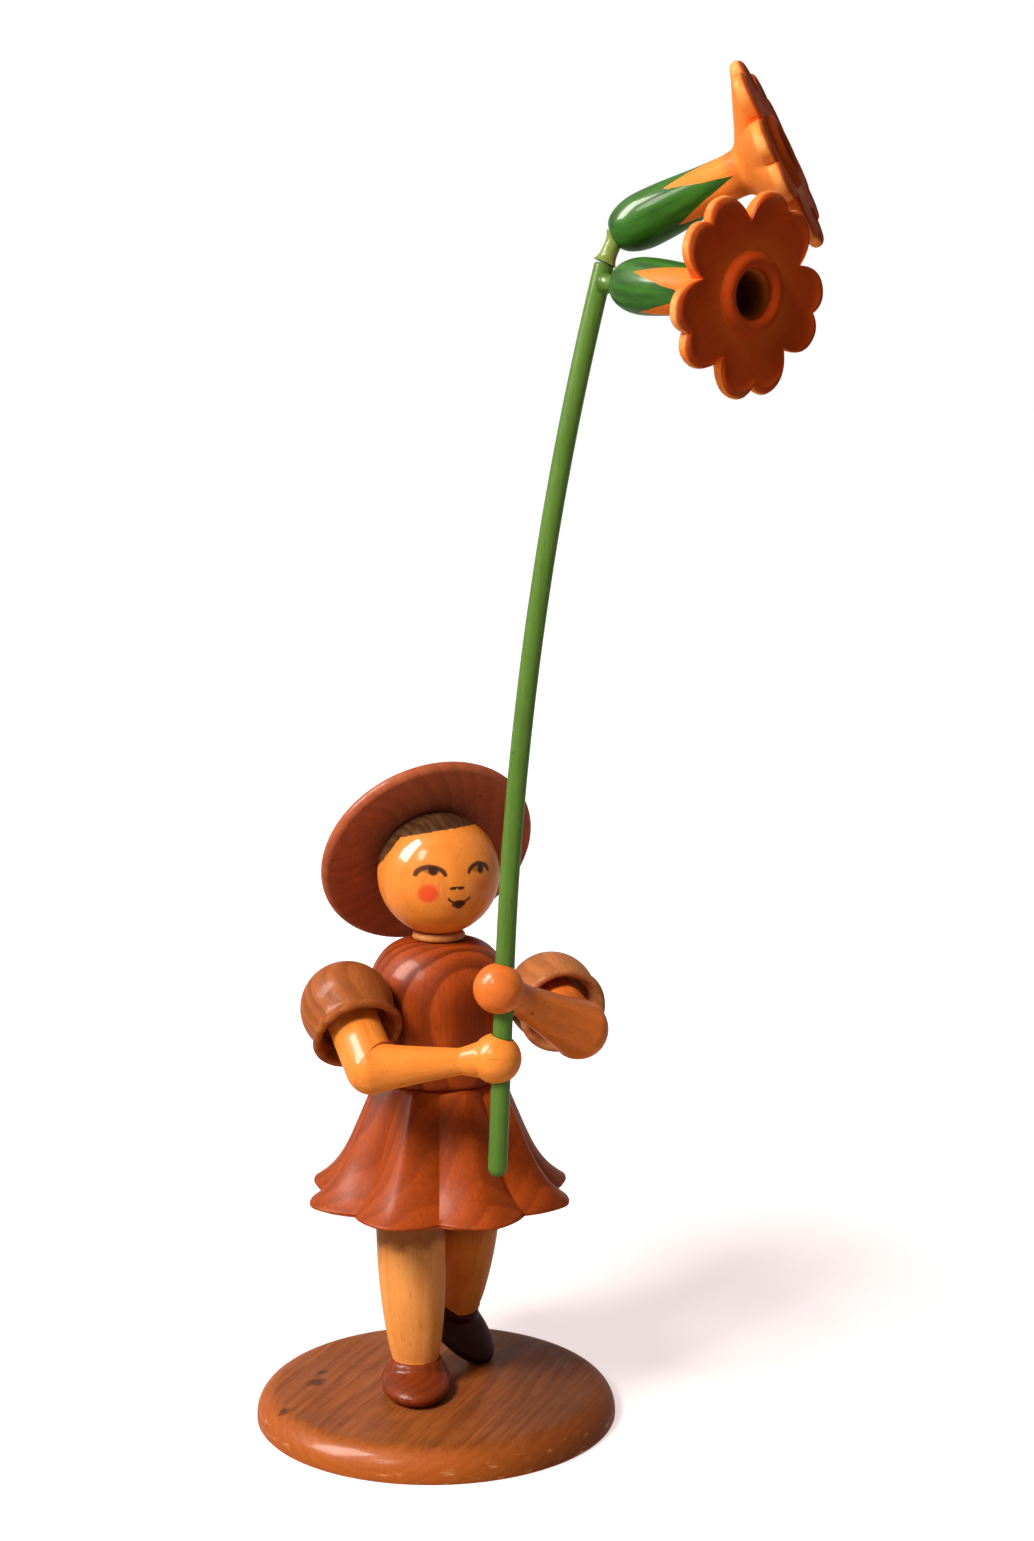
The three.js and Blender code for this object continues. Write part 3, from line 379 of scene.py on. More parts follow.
class NodeGroup:
    """One node group with named inputs and outputs, built once."""

    def __init__(self, name: str, kind: str, inputs: dict[str, object], outputs: dict[str, str]) -> None:
        """Makes the empty group.

        Args:
            name: The group's name.
            kind: The tree's type.
            inputs: Each input's default value, or its socket type where it has none.
            outputs: Each output's socket type.
        """
        self.tree = bpy.data.node_groups.new(name, kind)
        for label, value in inputs.items():
            typed = isinstance(value, str)
            socket_type = value if typed else SOCKETS[type(value)]
            socket = self.tree.interface.new_socket(label, in_out="INPUT", socket_type=socket_type)
            if not typed:
                socket.default_value = value
        for label, socket_type in outputs.items():
            self.tree.interface.new_socket(label, in_out="OUTPUT", socket_type=socket_type)
        self.wiring = Wiring(self.tree)
        self.given = self.wiring.add("NodeGroupInput").outputs
        self.result = self.wiring.add("NodeGroupOutput").inputs

    def put(self, **values: Socket) -> None:
        """Links results to the outputs of these names."""
        for label, value in values.items():
            self.wiring.feed(self.result[label], value)

    def key(self, label: str) -> str:
        """Returns the identifier of a named input."""
        items = self.tree.interface.items_tree
        return next(i.identifier for i in items if i.name == label and i.in_out == "INPUT")


class Effects:
    """Shader groups that several finishes share."""

    def __init__(self) -> None:
        """Builds each group once."""
        self.timber = self._timber()
        self.lacquer = self._lacquer()
        self.dab = self._dab()
        self.stroke = self._stroke()

    @staticmethod
    def _open(name: str, inputs: dict[str, object], *outputs: str) -> NodeGroup:
        """Starts a shader group that reads a place and puts out plain values."""
        given = {"Vector": (0.0, 0.0, 0.0), **inputs}
        return NodeGroup(name, "ShaderNodeTree", given, dict.fromkeys(outputs, "NodeSocketFloat"))

    @classmethod
    def _timber(cls) -> Tree:
        """Returns the growth rings, fibres and pores of wood that grew along Z."""
        inputs = {"Ring Width": 1.5, "Wander": 1.0}
        group = cls._open("TurnedTimber", inputs, "Rings", "Fibre", "Pores", "Height")
        w, given = group.wiring, group.given
        point = given["Vector"]
        sway = w.math("SUBTRACT", w.noise(w.stretched(point, 0.11, 0.035), 1.0, 2.0), 0.5)
        rings_out = w.math("DIVIDE", w.reach(point), given["Ring Width"])
        turns = w.math("ADD", rings_out, w.times(sway, given["Wander"], 4.0))
        place = w.math("FRACT", turns)
        season = w.math("SUBTRACT", w.ramp(place, 0.1, 0.86), w.ramp(place, 0.86, 1.0))
        year = w.add("ShaderNodeTexWhiteNoise", {"W": w.math("FLOOR", turns)}, noise_dimensions="1D")
        rings = w.times(season, w.math("MULTIPLY_ADD", year.outputs["Value"], 0.6, 0.4))
        fibre = w.streaks(point, (3.4, 0.17), (0.32, 0.7), rough=0.62)
        pores = w.streaks(point, (7.0, 0.55), (0.66, 0.75), 1.0)
        height = w.math("SUBTRACT", w.times(fibre, 0.5), pores)
        group.put(Rings=rings, Fibre=fibre, Pores=pores, Height=height)
        return group.tree

    @classmethod
    def _lacquer(cls) -> Tree:
        """Returns the brushed lacquer's ripple, its dull patches, its mottling and its dark nibs."""
        group = cls._open("BrushedLacquer", {}, "Ripple", "Dull", "Mottle", "Nibs")
        w, point = group.wiring, group.given["Vector"]
        aside = w.vector("ADD", point, (31.0, 7.0, 3.0))
        cells = w.add("ShaderNodeTexVoronoi", {"Vector": point, "Scale": 0.42}).outputs
        rare = w.ramp(w.split(cells["Color"])[0], 0.72, 0.76)
        group.put(
            Ripple=w.noise(point, 0.55),
            Dull=w.ramp(w.noise(point, 0.2, rough=0.6), 0.4, 0.68),
            Mottle=w.ramp(w.noise(aside, 0.27, rough=0.55), 0.3, 0.72),
            Nibs=w.times(rare, w.ramp(cells["Distance"], 0.05, 0.11, 1.0, 0.0)),
        )
        return group.tree

    @classmethod
    def _brush(cls, name: str, inputs: dict[str, object]) -> tuple[NodeGroup, Socket]:
        """Starts the group of one mark of a brush.

        Args:
            name: The group's name.
            inputs: Its inputs besides the place and the oval.

        Returns:
            The group, and the place in shares of the mark's oval.
        """
        oval = {"Centre": (0.0, 0.0, 0.0), "Size": (1.0, 1.0, 1.0)}
        group = cls._open(name, {**oval, **inputs}, "Mask")
        w, given = group.wiring, group.given
        away = w.vector("SUBTRACT", given["Vector"], given["Centre"])
        return group, w.vector("DIVIDE", away, given["Size"])

    @classmethod
    def _dab(cls) -> Tree:
        """Returns the mask of one dab of a brush: an oval with a soft edge."""
        group, oval = cls._brush("BrushDab", {"Soft": 0.2})
        w = group.wiring
        low, high = (w.math(side, 1.0, group.given["Soft"]) for side in ("SUBTRACT", "ADD"))
        group.put(Mask=w.ramp(w.vector("LENGTH", oval), low, high, 1.0, 0.0))
        return group.tree

    @classmethod
    def _stroke(cls) -> Tree:
        """Returns the mask of a bowed brush stroke: the part of an oval's line beyond a level."""
        group, oval = cls._brush("BowedStroke", {"Width": 0.12, "Bow": 1.0})
        w = group.wiring
        rise = w.times(w.split(oval)[2], group.given["Bow"])
        width = w.times(group.given["Width"], w.ramp(rise, 0.0, 0.8, 0.55, 1.0))
        away = w.math("ABSOLUTE", w.math("SUBTRACT", w.vector("LENGTH", oval), 1.0))
        line = w.ramp(away, w.times(width, 0.6), w.times(width, 1.4), 1.0, 0.0)
        group.put(Mask=w.times(line, w.ramp(rise, 0.02, 0.2)))
        return group.tree


@dataclass(frozen=True)
class Wash:
    """A colour that goes over the wood, and how strongly it covers."""

    colour: Colour
    strength: float = 1.0


@dataclass
class Surface:
    """A material as it is built up: its wiring, the place it reads, its colour so far and what dulls it."""

    w: Wiring
    effects: Effects
    point: Socket
    colour: object
    dull: object = 0.0

    def over(self, wash: Wash, mask: object) -> None:
        """Lays a wash over what is there, where a mask lets it."""
        self.colour = self.w.blend(self.w.times(mask, wash.strength), self.colour, tone(wash.colour))


@dataclass(frozen=True)
class WoodFinish:
    """Stained, lacquered wood with its growth rings."""

    name: str
    light: Colour
    dark: Colour
    ring_width: float = 1.5
    ring_strength: float = 0.6
    wander: float = 1.0
    pith: Triple = (6.0, 5.0, 0.0)
    tilt: Triple = (0.0, 0.0, 0.0)
    fibre_strength: float = 0.3
    mottle: float = 0.25
    nibs: float = 0.6
    roughness: float = 0.45
    coat: float = 0.09
    coat_roughness: float = 0.14
    coordinates: Coordinates = Coordinates.OWN_AXIS
    pores: float = 0.35
    deepest: float = 0.55
    dull_patches: float = 0.14
    dull_paint: float = 0.25
    grain_relief: float = 0.35
    relief: float = 0.5
    relief_depth: float = 0.06
    bare_gloss: float = 0.03

    def material(self, effects: Effects) -> Material:
        """Returns the finish's material, made on its first use.

        Args:
            effects: The shared shader groups.

        Returns:
            The material.
        """
        made = bpy.data.materials.get(self.name)
        if made is not None:
            return made
        made = bpy.data.materials.new(self.name)
        made.diffuse_color = tone(self.light)
        w = Wiring.fresh(made)
        point = self.point(w)
        turn = tuple(math.radians(a) for a in self.tilt)
        laid = w.add("ShaderNodeMapping", {"Vector": point, "Location": self.pith, "Rotation": turn})
        grown = {"Vector": laid.outputs[0], "Ring Width": self.ring_width, "Wander": self.wander}
        timber = w.place(effects.timber, grown)
        lacquer = w.place(effects.lacquer, {"Vector": point})
        on = Surface(w, effects, point, tone(self.light))
        deep = darker(self.dark, self.deepest)
        on.over(Wash(self.dark, self.ring_strength), timber["Rings"])
        on.over(Wash(self.dark, self.fibre_strength), timber["Fibre"])
        on.over(Wash(self.dark, self.mottle), lacquer["Mottle"])
        on.over(Wash(deep, self.pores), timber["Pores"])
        on.over(Wash(deep, self.nibs), lacquer["Nibs"])
        self.paint(on)
        rough = w.math("MULTIPLY_ADD", lacquer["Dull"], self.dull_patches, self.roughness)
        height = w.math("MULTIPLY_ADD", timber["Height"], self.grain_relief, lacquer["Ripple"])
        relief = {"Strength": self.relief, "Distance": self.relief_depth * MM, "Height": height}
        shader = w.add("ShaderNodeBsdfPrincipled", {
            "Base Color": on.colour,
            "Roughness": w.math("MULTIPLY_ADD", on.dull, self.dull_paint, rough),
            "Specular IOR Level": self.bare_gloss,
            "Coat Weight": w.times(w.math("SUBTRACT", 1.0, on.dull), self.coat),
            "Coat Roughness": self.coat_roughness,
            "Normal": w.add("ShaderNodeBump", relief).outputs[0],
        })
        w.add("ShaderNodeOutputMaterial", {"Surface": shader.outputs[0]})
        return made

    def point(self, w: Wiring) -> Socket:
        """Returns the place on the piece that the pattern reads.

        Args:
            w: The material's wiring.

        Returns:
            The place, in millimetres.
        """
        if self.coordinates is Coordinates.FRAME:
            source = w.add("ShaderNodeTexCoord").outputs["Object"]
            return w.stretched(source, 1 / MM, 1 / MM)
        return w.add("ShaderNodeAttribute", attribute_name=OWN_AXES).outputs["Vector"]

    def paint(self, on: Surface) -> None:
        """Lays what is painted over the wood on its surface: nothing on plain wood."""


@dataclass(frozen=True)
class BaseWood(WoodFinish):
    """The base: a warm rim, painted shade on its right side, dark bruises, and lacquer rubbed pale along its
    edge, which is partly a painted highlight.
    """

    rim: Wash = Wash((196, 96, 30), 0.5)
    rim_band: Pair = (BASE_RADIUS - 2.6, BASE_RADIUS - 0.6)
    # Painted shade: the figure's shadow over the base's right side, laid into its colour.
    painted_shade: Wash = Wash((66, 26, 6), 0.55)
    painted_shade_way: Triple = (0.93, -0.37, 0.0)
    painted_shade_band: Pair = (-2.0, 13.0)
    bruise: Wash = Wash((56, 28, 12), 0.75)
    bruise_soft: float = 0.6
    # Pale rubbed edge: partly wear, partly a painted highlight along the rim.
    bare_and_highlight: Wash = Wash((232, 168, 112), 0.5)
    bare_and_highlight_band: Pair = (BASE_RADIUS - 0.8, BASE_RADIUS - 0.1)
    bare_dull: float = 0.4
    bruises: tuple[tuple[Triple, Triple], ...] = (
        ((-11.0, 4.9, 3.0), (0.9, 0.7, 2.0)),
        ((-16.0, -0.4, 2.8), (0.5, 0.6, 2.0)),
        ((-9.5, 7.2, 3.0), (0.5, 0.4, 2.0)),
    )

    def paint(self, on: Surface) -> None:
        """Lays the rim, the painted shade on the right side, the bruises and the rubbed edge, which is duller
        and partly a painted highlight, over the wood.

        Args:
            on: The base's surface.
        """
        w = on.w
        reach = w.reach(on.point)
        smear = w.ragged(on.point, 0.9, 1.6)
        smeared = w.vector("ADD", on.point, w.join(smear, smear, 0.0))
        blots = []
        for centre, size in self.bruises:
            oval = {"Vector": smeared, "Centre": centre, "Size": size, "Soft": self.bruise_soft}
            blots.append(w.place(on.effects.dab, oval)[0])
        rubbed = w.streaks(on.point, (0.4, 1.6), (0.56, 0.7), 4.0, 0.65)
        # The pale edge mask: worn lacquer and a painted highlight.
        wear_and_highlight = w.times(w.ramp(reach, *self.bare_and_highlight_band), rubbed)
        on.over(self.rim, w.ramp(reach, *self.rim_band))
        # Painted shade over the base's right side, where the figure's shadow falls.
        on.over(self.painted_shade, w.ramp(w.vector("DOT_PRODUCT", smeared, self.painted_shade_way), *self.painted_shade_band))
        on.over(self.bruise, w.either(*blots))
        on.over(self.bare_and_highlight, wear_and_highlight)
        on.dull = w.times(wear_and_highlight, self.bare_dull)


@dataclass(frozen=True)
class LegWood(WoodFinish):
    """A leg: pale wood, darker towards its upper end under the skirt."""

    # A darker band at the top of the leg, just under the skirt's hem.
    upper_darkening: Wash = Wash((124, 54, 20), 0.7)
    upper_darkening_band: Pair = (11.4, 12.9)

    def paint(self, on: Surface) -> None:
        """Lays a darker band over the leg's upper end, under the skirt.

        Args:
            on: The leg's surface.
        """
        w = on.w
        height = w.math("ADD", w.split(on.point)[2], w.ragged(on.point, 0.8, 1.6))
        # Darkens the leg's upper end.
        on.over(self.upper_darkening, w.ramp(height, *self.upper_darkening_band))


@dataclass(frozen=True)
class Mark:
    """A mark of the brush on the face: the middle and the half sizes of its oval."""

    x: float
    z: float
    wide: float
    tall: float

    def oval(self, face: Socket) -> dict[str, object]:
        """Returns the inputs of the mark's shader group that its oval gives."""
        return {"Vector": face, "Centre": (self.x, 0.0, self.z), "Size": (self.wide, 1.0, self.tall)}


@dataclass(frozen=True)
class Dab(Mark):
    """An oval dab, with the softness of its edge."""

    soft: float = 0.22

    def mask(self, on: Surface, face: Socket) -> Socket:
        """Returns where the dab covers the face."""
        return on.w.place(on.effects.dab, {**self.oval(face), "Soft": self.soft})[0]


@dataclass(frozen=True)
class Stroke(Mark):
    """A bowed stroke along its oval, with its width, and -1 to bow downwards."""

    width: float
    bowed: float = 1.0

    def mask(self, on: Surface, face: Socket) -> Socket:
        """Returns where the stroke covers the face."""
        inputs = {**self.oval(face), "Width": self.width, "Bow": self.bowed}
        return on.w.place(on.effects.stroke, inputs)[0]


@dataclass(frozen=True)
class FacePaint(Wash):
    """One colour of the face with the marks that are made with it."""

    marks: tuple[Dab | Stroke, ...] = ()


@dataclass(frozen=True)
class PaintedHead(WoodFinish):
    """The head: hair, eyes, nose, mouth and cheeks painted on pale wood, in the ball's own axes."""

    face: tuple[FacePaint, ...] = (
        FacePaint((238, 66, 22), 0.85, (Dab(-3.1, -0.95, 0.86, 0.86, 0.3),)),
        FacePaint((222, 76, 28), 0.3, (Dab(2.35, -0.4, 0.8, 0.7, 0.5),)),
        FacePaint((112, 56, 24), 0.6, (
            Dab(-2.8, 1.28, 0.72, 0.36, 0.3),
            Dab(1.75, 1.32, 0.8, 0.4, 0.3),
        )),
        FacePaint((58, 27, 12), 0.94, (
            Stroke(-2.85, 0.58, 1.28, 1.02, 0.21),
            Stroke(1.9, 0.72, 1.17, 0.98, 0.2),
        )),
        FacePaint((40, 17, 9), 0.95, (
            Dab(-2.66, 1.22, 0.42, 0.42, 0.3),
            Dab(2.08, 1.16, 0.38, 0.45, 0.3),
            Dab(-0.9, -0.46, 0.36, 0.15),
            Dab(-0.1, -0.48, 0.36, 0.15),
            Dab(-0.5, -0.36, 0.6, 0.07),
            Dab(-0.2, -2.02, 0.7, 0.36),
            Dab(-0.12, -2.2, 0.42, 0.36),
            Stroke(-0.22, -1.3, 1.08, 0.62, 0.14, -1.0),
        )),
    )
    hair: tuple[tuple[Triple, float], ...] = (
        ((-0.098, 0.195, 0.976), 4.08),
        ((-0.722, 0.343, 0.601), 5.18),
        ((0.0, 0.9, 0.436), 2.2),
    )
    hair_dark: Colour = (62, 36, 20)
    hair_light: Colour = (94, 62, 38)
    hair_dull: float = 0.7

    def paint(self, on: Surface) -> None:
        """Paints the face and the hair over the wood.

        Args:
            on: The head's surface.
        """
        w, point = on.w, on.point
        front = w.ramp(w.split(point)[1], -2.0, -3.0)
        brushed = w.ragged(w.stretched(point, 1.2, 0.5), 1.0, 0.14)
        face = w.vector("MULTIPLY", w.vector("ADD", point, w.join(brushed, 0.0, brushed)), (1.0, 0.0, 1.0))
        for paint in self.face:
            marks = w.either(*(mark.mask(on, face) for mark in paint.marks))
            on.over(paint, w.times(marks, front))
        caps = [w.math("SUBTRACT", w.vector("DOT_PRODUCT", point, way), start) for way, start in self.hair]
        inside = w.math("ADD", w.either(*caps), w.ragged(point, 2.2, 0.3, 0.6))
        hair = w.ramp(inside, -0.06, 0.06)
        strands = w.ramp(w.noise(w.vector("MULTIPLY", point, (2.6, 0.5, 0.5)), 1.0), 0.3, 0.7)
        on.colour = w.blend(hair, on.colour, w.blend(strands, tone(self.hair_dark), tone(self.hair_light)))
        on.dull = w.times(hair, self.hair_dull)


@dataclass(frozen=True)
class GreenPaint(WoodFinish):
    """Green paint over turned wood, thin enough to show brush streaks and rubbed places."""

    streak_strength: float = 0.5
    worn: Wash = Wash((176, 168, 96), 0.6)
    worn_share: float = 0.2
    worn_dull: float = 0.5

    def paint(self, on: Surface) -> None:
        """Lays the paint's streaks and its rubbed places, which are duller, over its ground.

        Args:
            on: The painted surface.
        """
        w = on.w
        level = 1.0 - self.worn_share
        rubbed = w.streaks(on.point, (0.8, 0.4), (level * 0.78, level * 0.9), 4.0, 0.65)
        streaks = w.streaks(on.point, (1.9, 0.12), (0.38, 0.66), rough=0.6)
        on.over(Wash(self.light, self.streak_strength), streaks)
        on.over(self.worn, rubbed)
        on.dull = w.times(rubbed, self.worn_dull)


@dataclass(frozen=True)
class BlossomPaint(WoodFinish):
    """A blossom: stained orange, green sepals with pointed tips, pale petal edges that are partly worn and
    partly a painted highlight, painted shade over its face and a dark throat of painted shade.
    """

    sepal: Colour = (52, 106, 26)
    sepal_shade: float = 0.72
    sepal_count: int = 4
    sepal_turn: float = 0.0
    sepal_root: float = 6.0
    sepal_tip: float = 12.0
    sepal_power: float = 1.1
    # Painted shade: the petals' face, turned away from the lamp, darkened into its colour.
    face: Wash = Wash((154, 36, 4), 0.85)
    painted_shade_face_band: Pair = (16.2, 16.5)
    # Pale petal edges: partly wear, partly a painted highlight on the lit edges.
    worn: Wash = Wash((252, 184, 110), 0.6)
    worn_and_highlight_band: Pair = (PETAL_REACH - 1.6, PETAL_REACH - 0.1)
    # Painted shade deep in the throat's bore.
    throat: Wash = Wash((46, 8, 4), 0.9)
    stain_dull: float = 0.9

    def paint(self, on: Surface) -> None:
        """Lays the pale petal edges, partly worn and partly a painted highlight, the painted shade on the
        face and deep in the throat, and the painted sepals over the stained wood.

        Args:
            on: The blossom's surface.
        """
        w, point = on.w, on.point
        along, radius = w.split(point)[2], w.reach(point)
        sector = w.math("MULTIPLY_ADD", w.angle(point), self.sepal_count / (2 * math.pi), self.sepal_turn)
        off_middle = w.math("ABSOLUTE", w.math("SUBTRACT", w.math("FRACT", sector), 0.5))
        share = w.math("POWER", w.math("SUBTRACT", 1.0, w.times(off_middle, 2.0)), self.sepal_power)
        outline = w.math("MULTIPLY_ADD", share, self.sepal_tip - self.sepal_root, self.sepal_root)
        border = w.math("ADD", outline, w.ragged(point, 0.9, 0.9))
        green = w.ramp(w.math("SUBTRACT", border, along), -0.12, 0.12)
        streaks = w.streaks(point, (1.3, 0.3), (0.35, 0.7))
        leaf = w.blend(streaks, tone(self.sepal), tone(darker(self.sepal, self.sepal_shade)))
        rubbed = w.ramp(w.noise(point, 0.6, 4.0, 0.6), 0.36, 0.66)
        # Pale petal edges, partly worn and partly a painted highlight.
        on.over(self.worn, w.times(w.ramp(radius, *self.worn_and_highlight_band), rubbed))
        # Painted shade over the face.
        on.over(self.face, w.ramp(along, *self.painted_shade_face_band))
        # Painted shade at the bottom of the throat.
        on.over(self.throat, w.times(w.ramp(radius, 2.3, 1.7), w.ramp(along, 11.0, 12.5)))
        on.colour = w.blend(green, on.colour, leaf)
        on.dull = w.math("MULTIPLY_ADD", green, -self.stain_dull, self.stain_dull)


class Rules:
    """Geometry Nodes trees for what repeats or follows a path."""

    def __init__(self) -> None:
        """Builds each tree once."""
        self.pleats = self._pleats()
        self.petals = self._petals()
        self.sweep = self._sweep()

    @staticmethod
    def _open(name: str, inputs: dict[str, object]) -> NodeGroup:
        """Starts a tree with geometry, the named inputs and a material."""
        named = {"Geometry": "NodeSocketGeometry", **inputs, "Material": "NodeSocketMaterial"}
        return NodeGroup(name, "GeometryNodeTree", named, {"Geometry": "NodeSocketGeometry"})

    @staticmethod
    def _close(group: NodeGroup, geometry: Socket) -> NodeGroup:
        """Ends a tree in plain geometry with its material.

        Args:
            group: The tree's group.
            geometry: Its geometry so far.

        Returns:
            The group.
        """
        w = group.wiring
        real = w.add("GeometryNodeRealizeInstances", {"Geometry": geometry}).outputs[0]
        dressed = w.add("GeometryNodeSetMaterial", {"Geometry": real, "Material": group.given["Material"]})
        group.put(Geometry=dressed.outputs[0])
        return group

    @classmethod
    def _carve(cls, group: NodeGroup, place: Socket, amount: Socket) -> NodeGroup:
        """Ends a tree that moves its points towards the Z axis.

        Args:
            group: The tree's group.
            place: The points' position.
            amount: How far each point moves.

        Returns:
            The group.
        """
        w = group.wiring
        outwards = w.vector("NORMALIZE", w.vector("MULTIPLY", place, LEVEL))
        inputs = {0: outwards, "Scale": w.times(amount, -1.0)}
        offset = w.add("ShaderNodeVectorMath", inputs, operation="SCALE").outputs[0]
        moved = w.add("GeometryNodeSetPosition", {"Geometry": group.given["Geometry"], "Offset": offset})
        return cls._close(group, moved.outputs[0])

    @classmethod
    def _pleats(cls) -> NodeGroup:
        """Returns the rule that cuts pleats into a turned bell, flat-sided at the waist, round at the hem."""
        sizes = ("Count", "Hem Depth", "Waist Depth", "Hem Roundness", "Waist Roundness", "Height")
        group = cls._open("PleatRule", dict.fromkeys(sizes, 1.0))
        w, given = group.wiring, group.given
        place = w.add("GeometryNodeInputPosition").outputs[0]
        skin = w.add("GeometryNodeInputNamedAttribute", {"Name": "skin"}, data_type="FLOAT").outputs[0]
        sector = w.times(w.math("ABSOLUTE", w.angle(place)), w.math("DIVIDE", given["Count"], math.pi))
        up = w.math("DIVIDE", w.split(place)[2], given["Height"])
        measures = []
        for name in ("Depth", "Roundness"):
            hem, waist = given[f"Hem {name}"], given[f"Waist {name}"]
            measures.append(w.math("MULTIPLY_ADD", up, w.math("SUBTRACT", waist, hem), hem))
        depth, roundness = measures
        valley = w.math("POWER", w.math("PINGPONG", sector, 1.0), roundness)
        return cls._carve(group, place, w.times(valley, depth, skin))

    @classmethod
    def _petals(cls) -> NodeGroup:
        """Returns the rule that cuts a turned trumpet's flare into notched petals."""
        sizes = ("Count", "Root", "Reach", "Gap Depth", "Gap Spread", "Notch Depth", "Notch Spread")
        group = cls._open("PetalRule", dict.fromkeys(sizes, 1.0))
        w, given = group.wiring, group.given
        place = w.add("GeometryNodeInputPosition").outputs[0]
        turn = w.times(w.angle(place), w.times(given["Count"], 0.5))
        dips = []
        for wave, name in (("SINE", "Gap"), ("COSINE", "Notch")):
            away = w.math("DIVIDE", w.math("ABSOLUTE", w.math(wave, turn)), given[f"{name} Spread"])
            dip = w.math("POWER", w.either(w.math("SUBTRACT", 1.0, away), 0.0), 2.0)
            dips.append(w.times(dip, given[f"{name} Depth"]))
        span = w.math("SUBTRACT", given["Reach"], given["Root"])
        beyond = w.math("SUBTRACT", w.reach(place), given["Root"])
        out = w.either(w.math("DIVIDE", beyond, span), 0.0)
        return cls._carve(group, place, w.times(out, out, w.math("ADD", *dips)))

    @classmethod
    def _sweep(cls) -> NodeGroup:
        """Returns the rule that gives a line of points a round section, by each point's thickness."""
        group = cls._open("StemRule", {"Sides": 28})
        w, given = group.wiring, group.given
        line = w.add("GeometryNodeMeshToCurve", {"Mesh": given["Geometry"]}).outputs[0]
        ring = w.add("GeometryNodeCurvePrimitiveCircle", {"Resolution": given["Sides"], "Radius": 1.0})
        thick = w.add("GeometryNodeInputNamedAttribute", {"Name": "thick"}, data_type="FLOAT").outputs[0]
        tube = w.add("GeometryNodeCurveToMesh", {
            "Curve": line, "Profile Curve": ring.outputs[0], "Scale": thick, "Fill Caps": True,
        })
        return cls._close(group, tube.outputs[0])


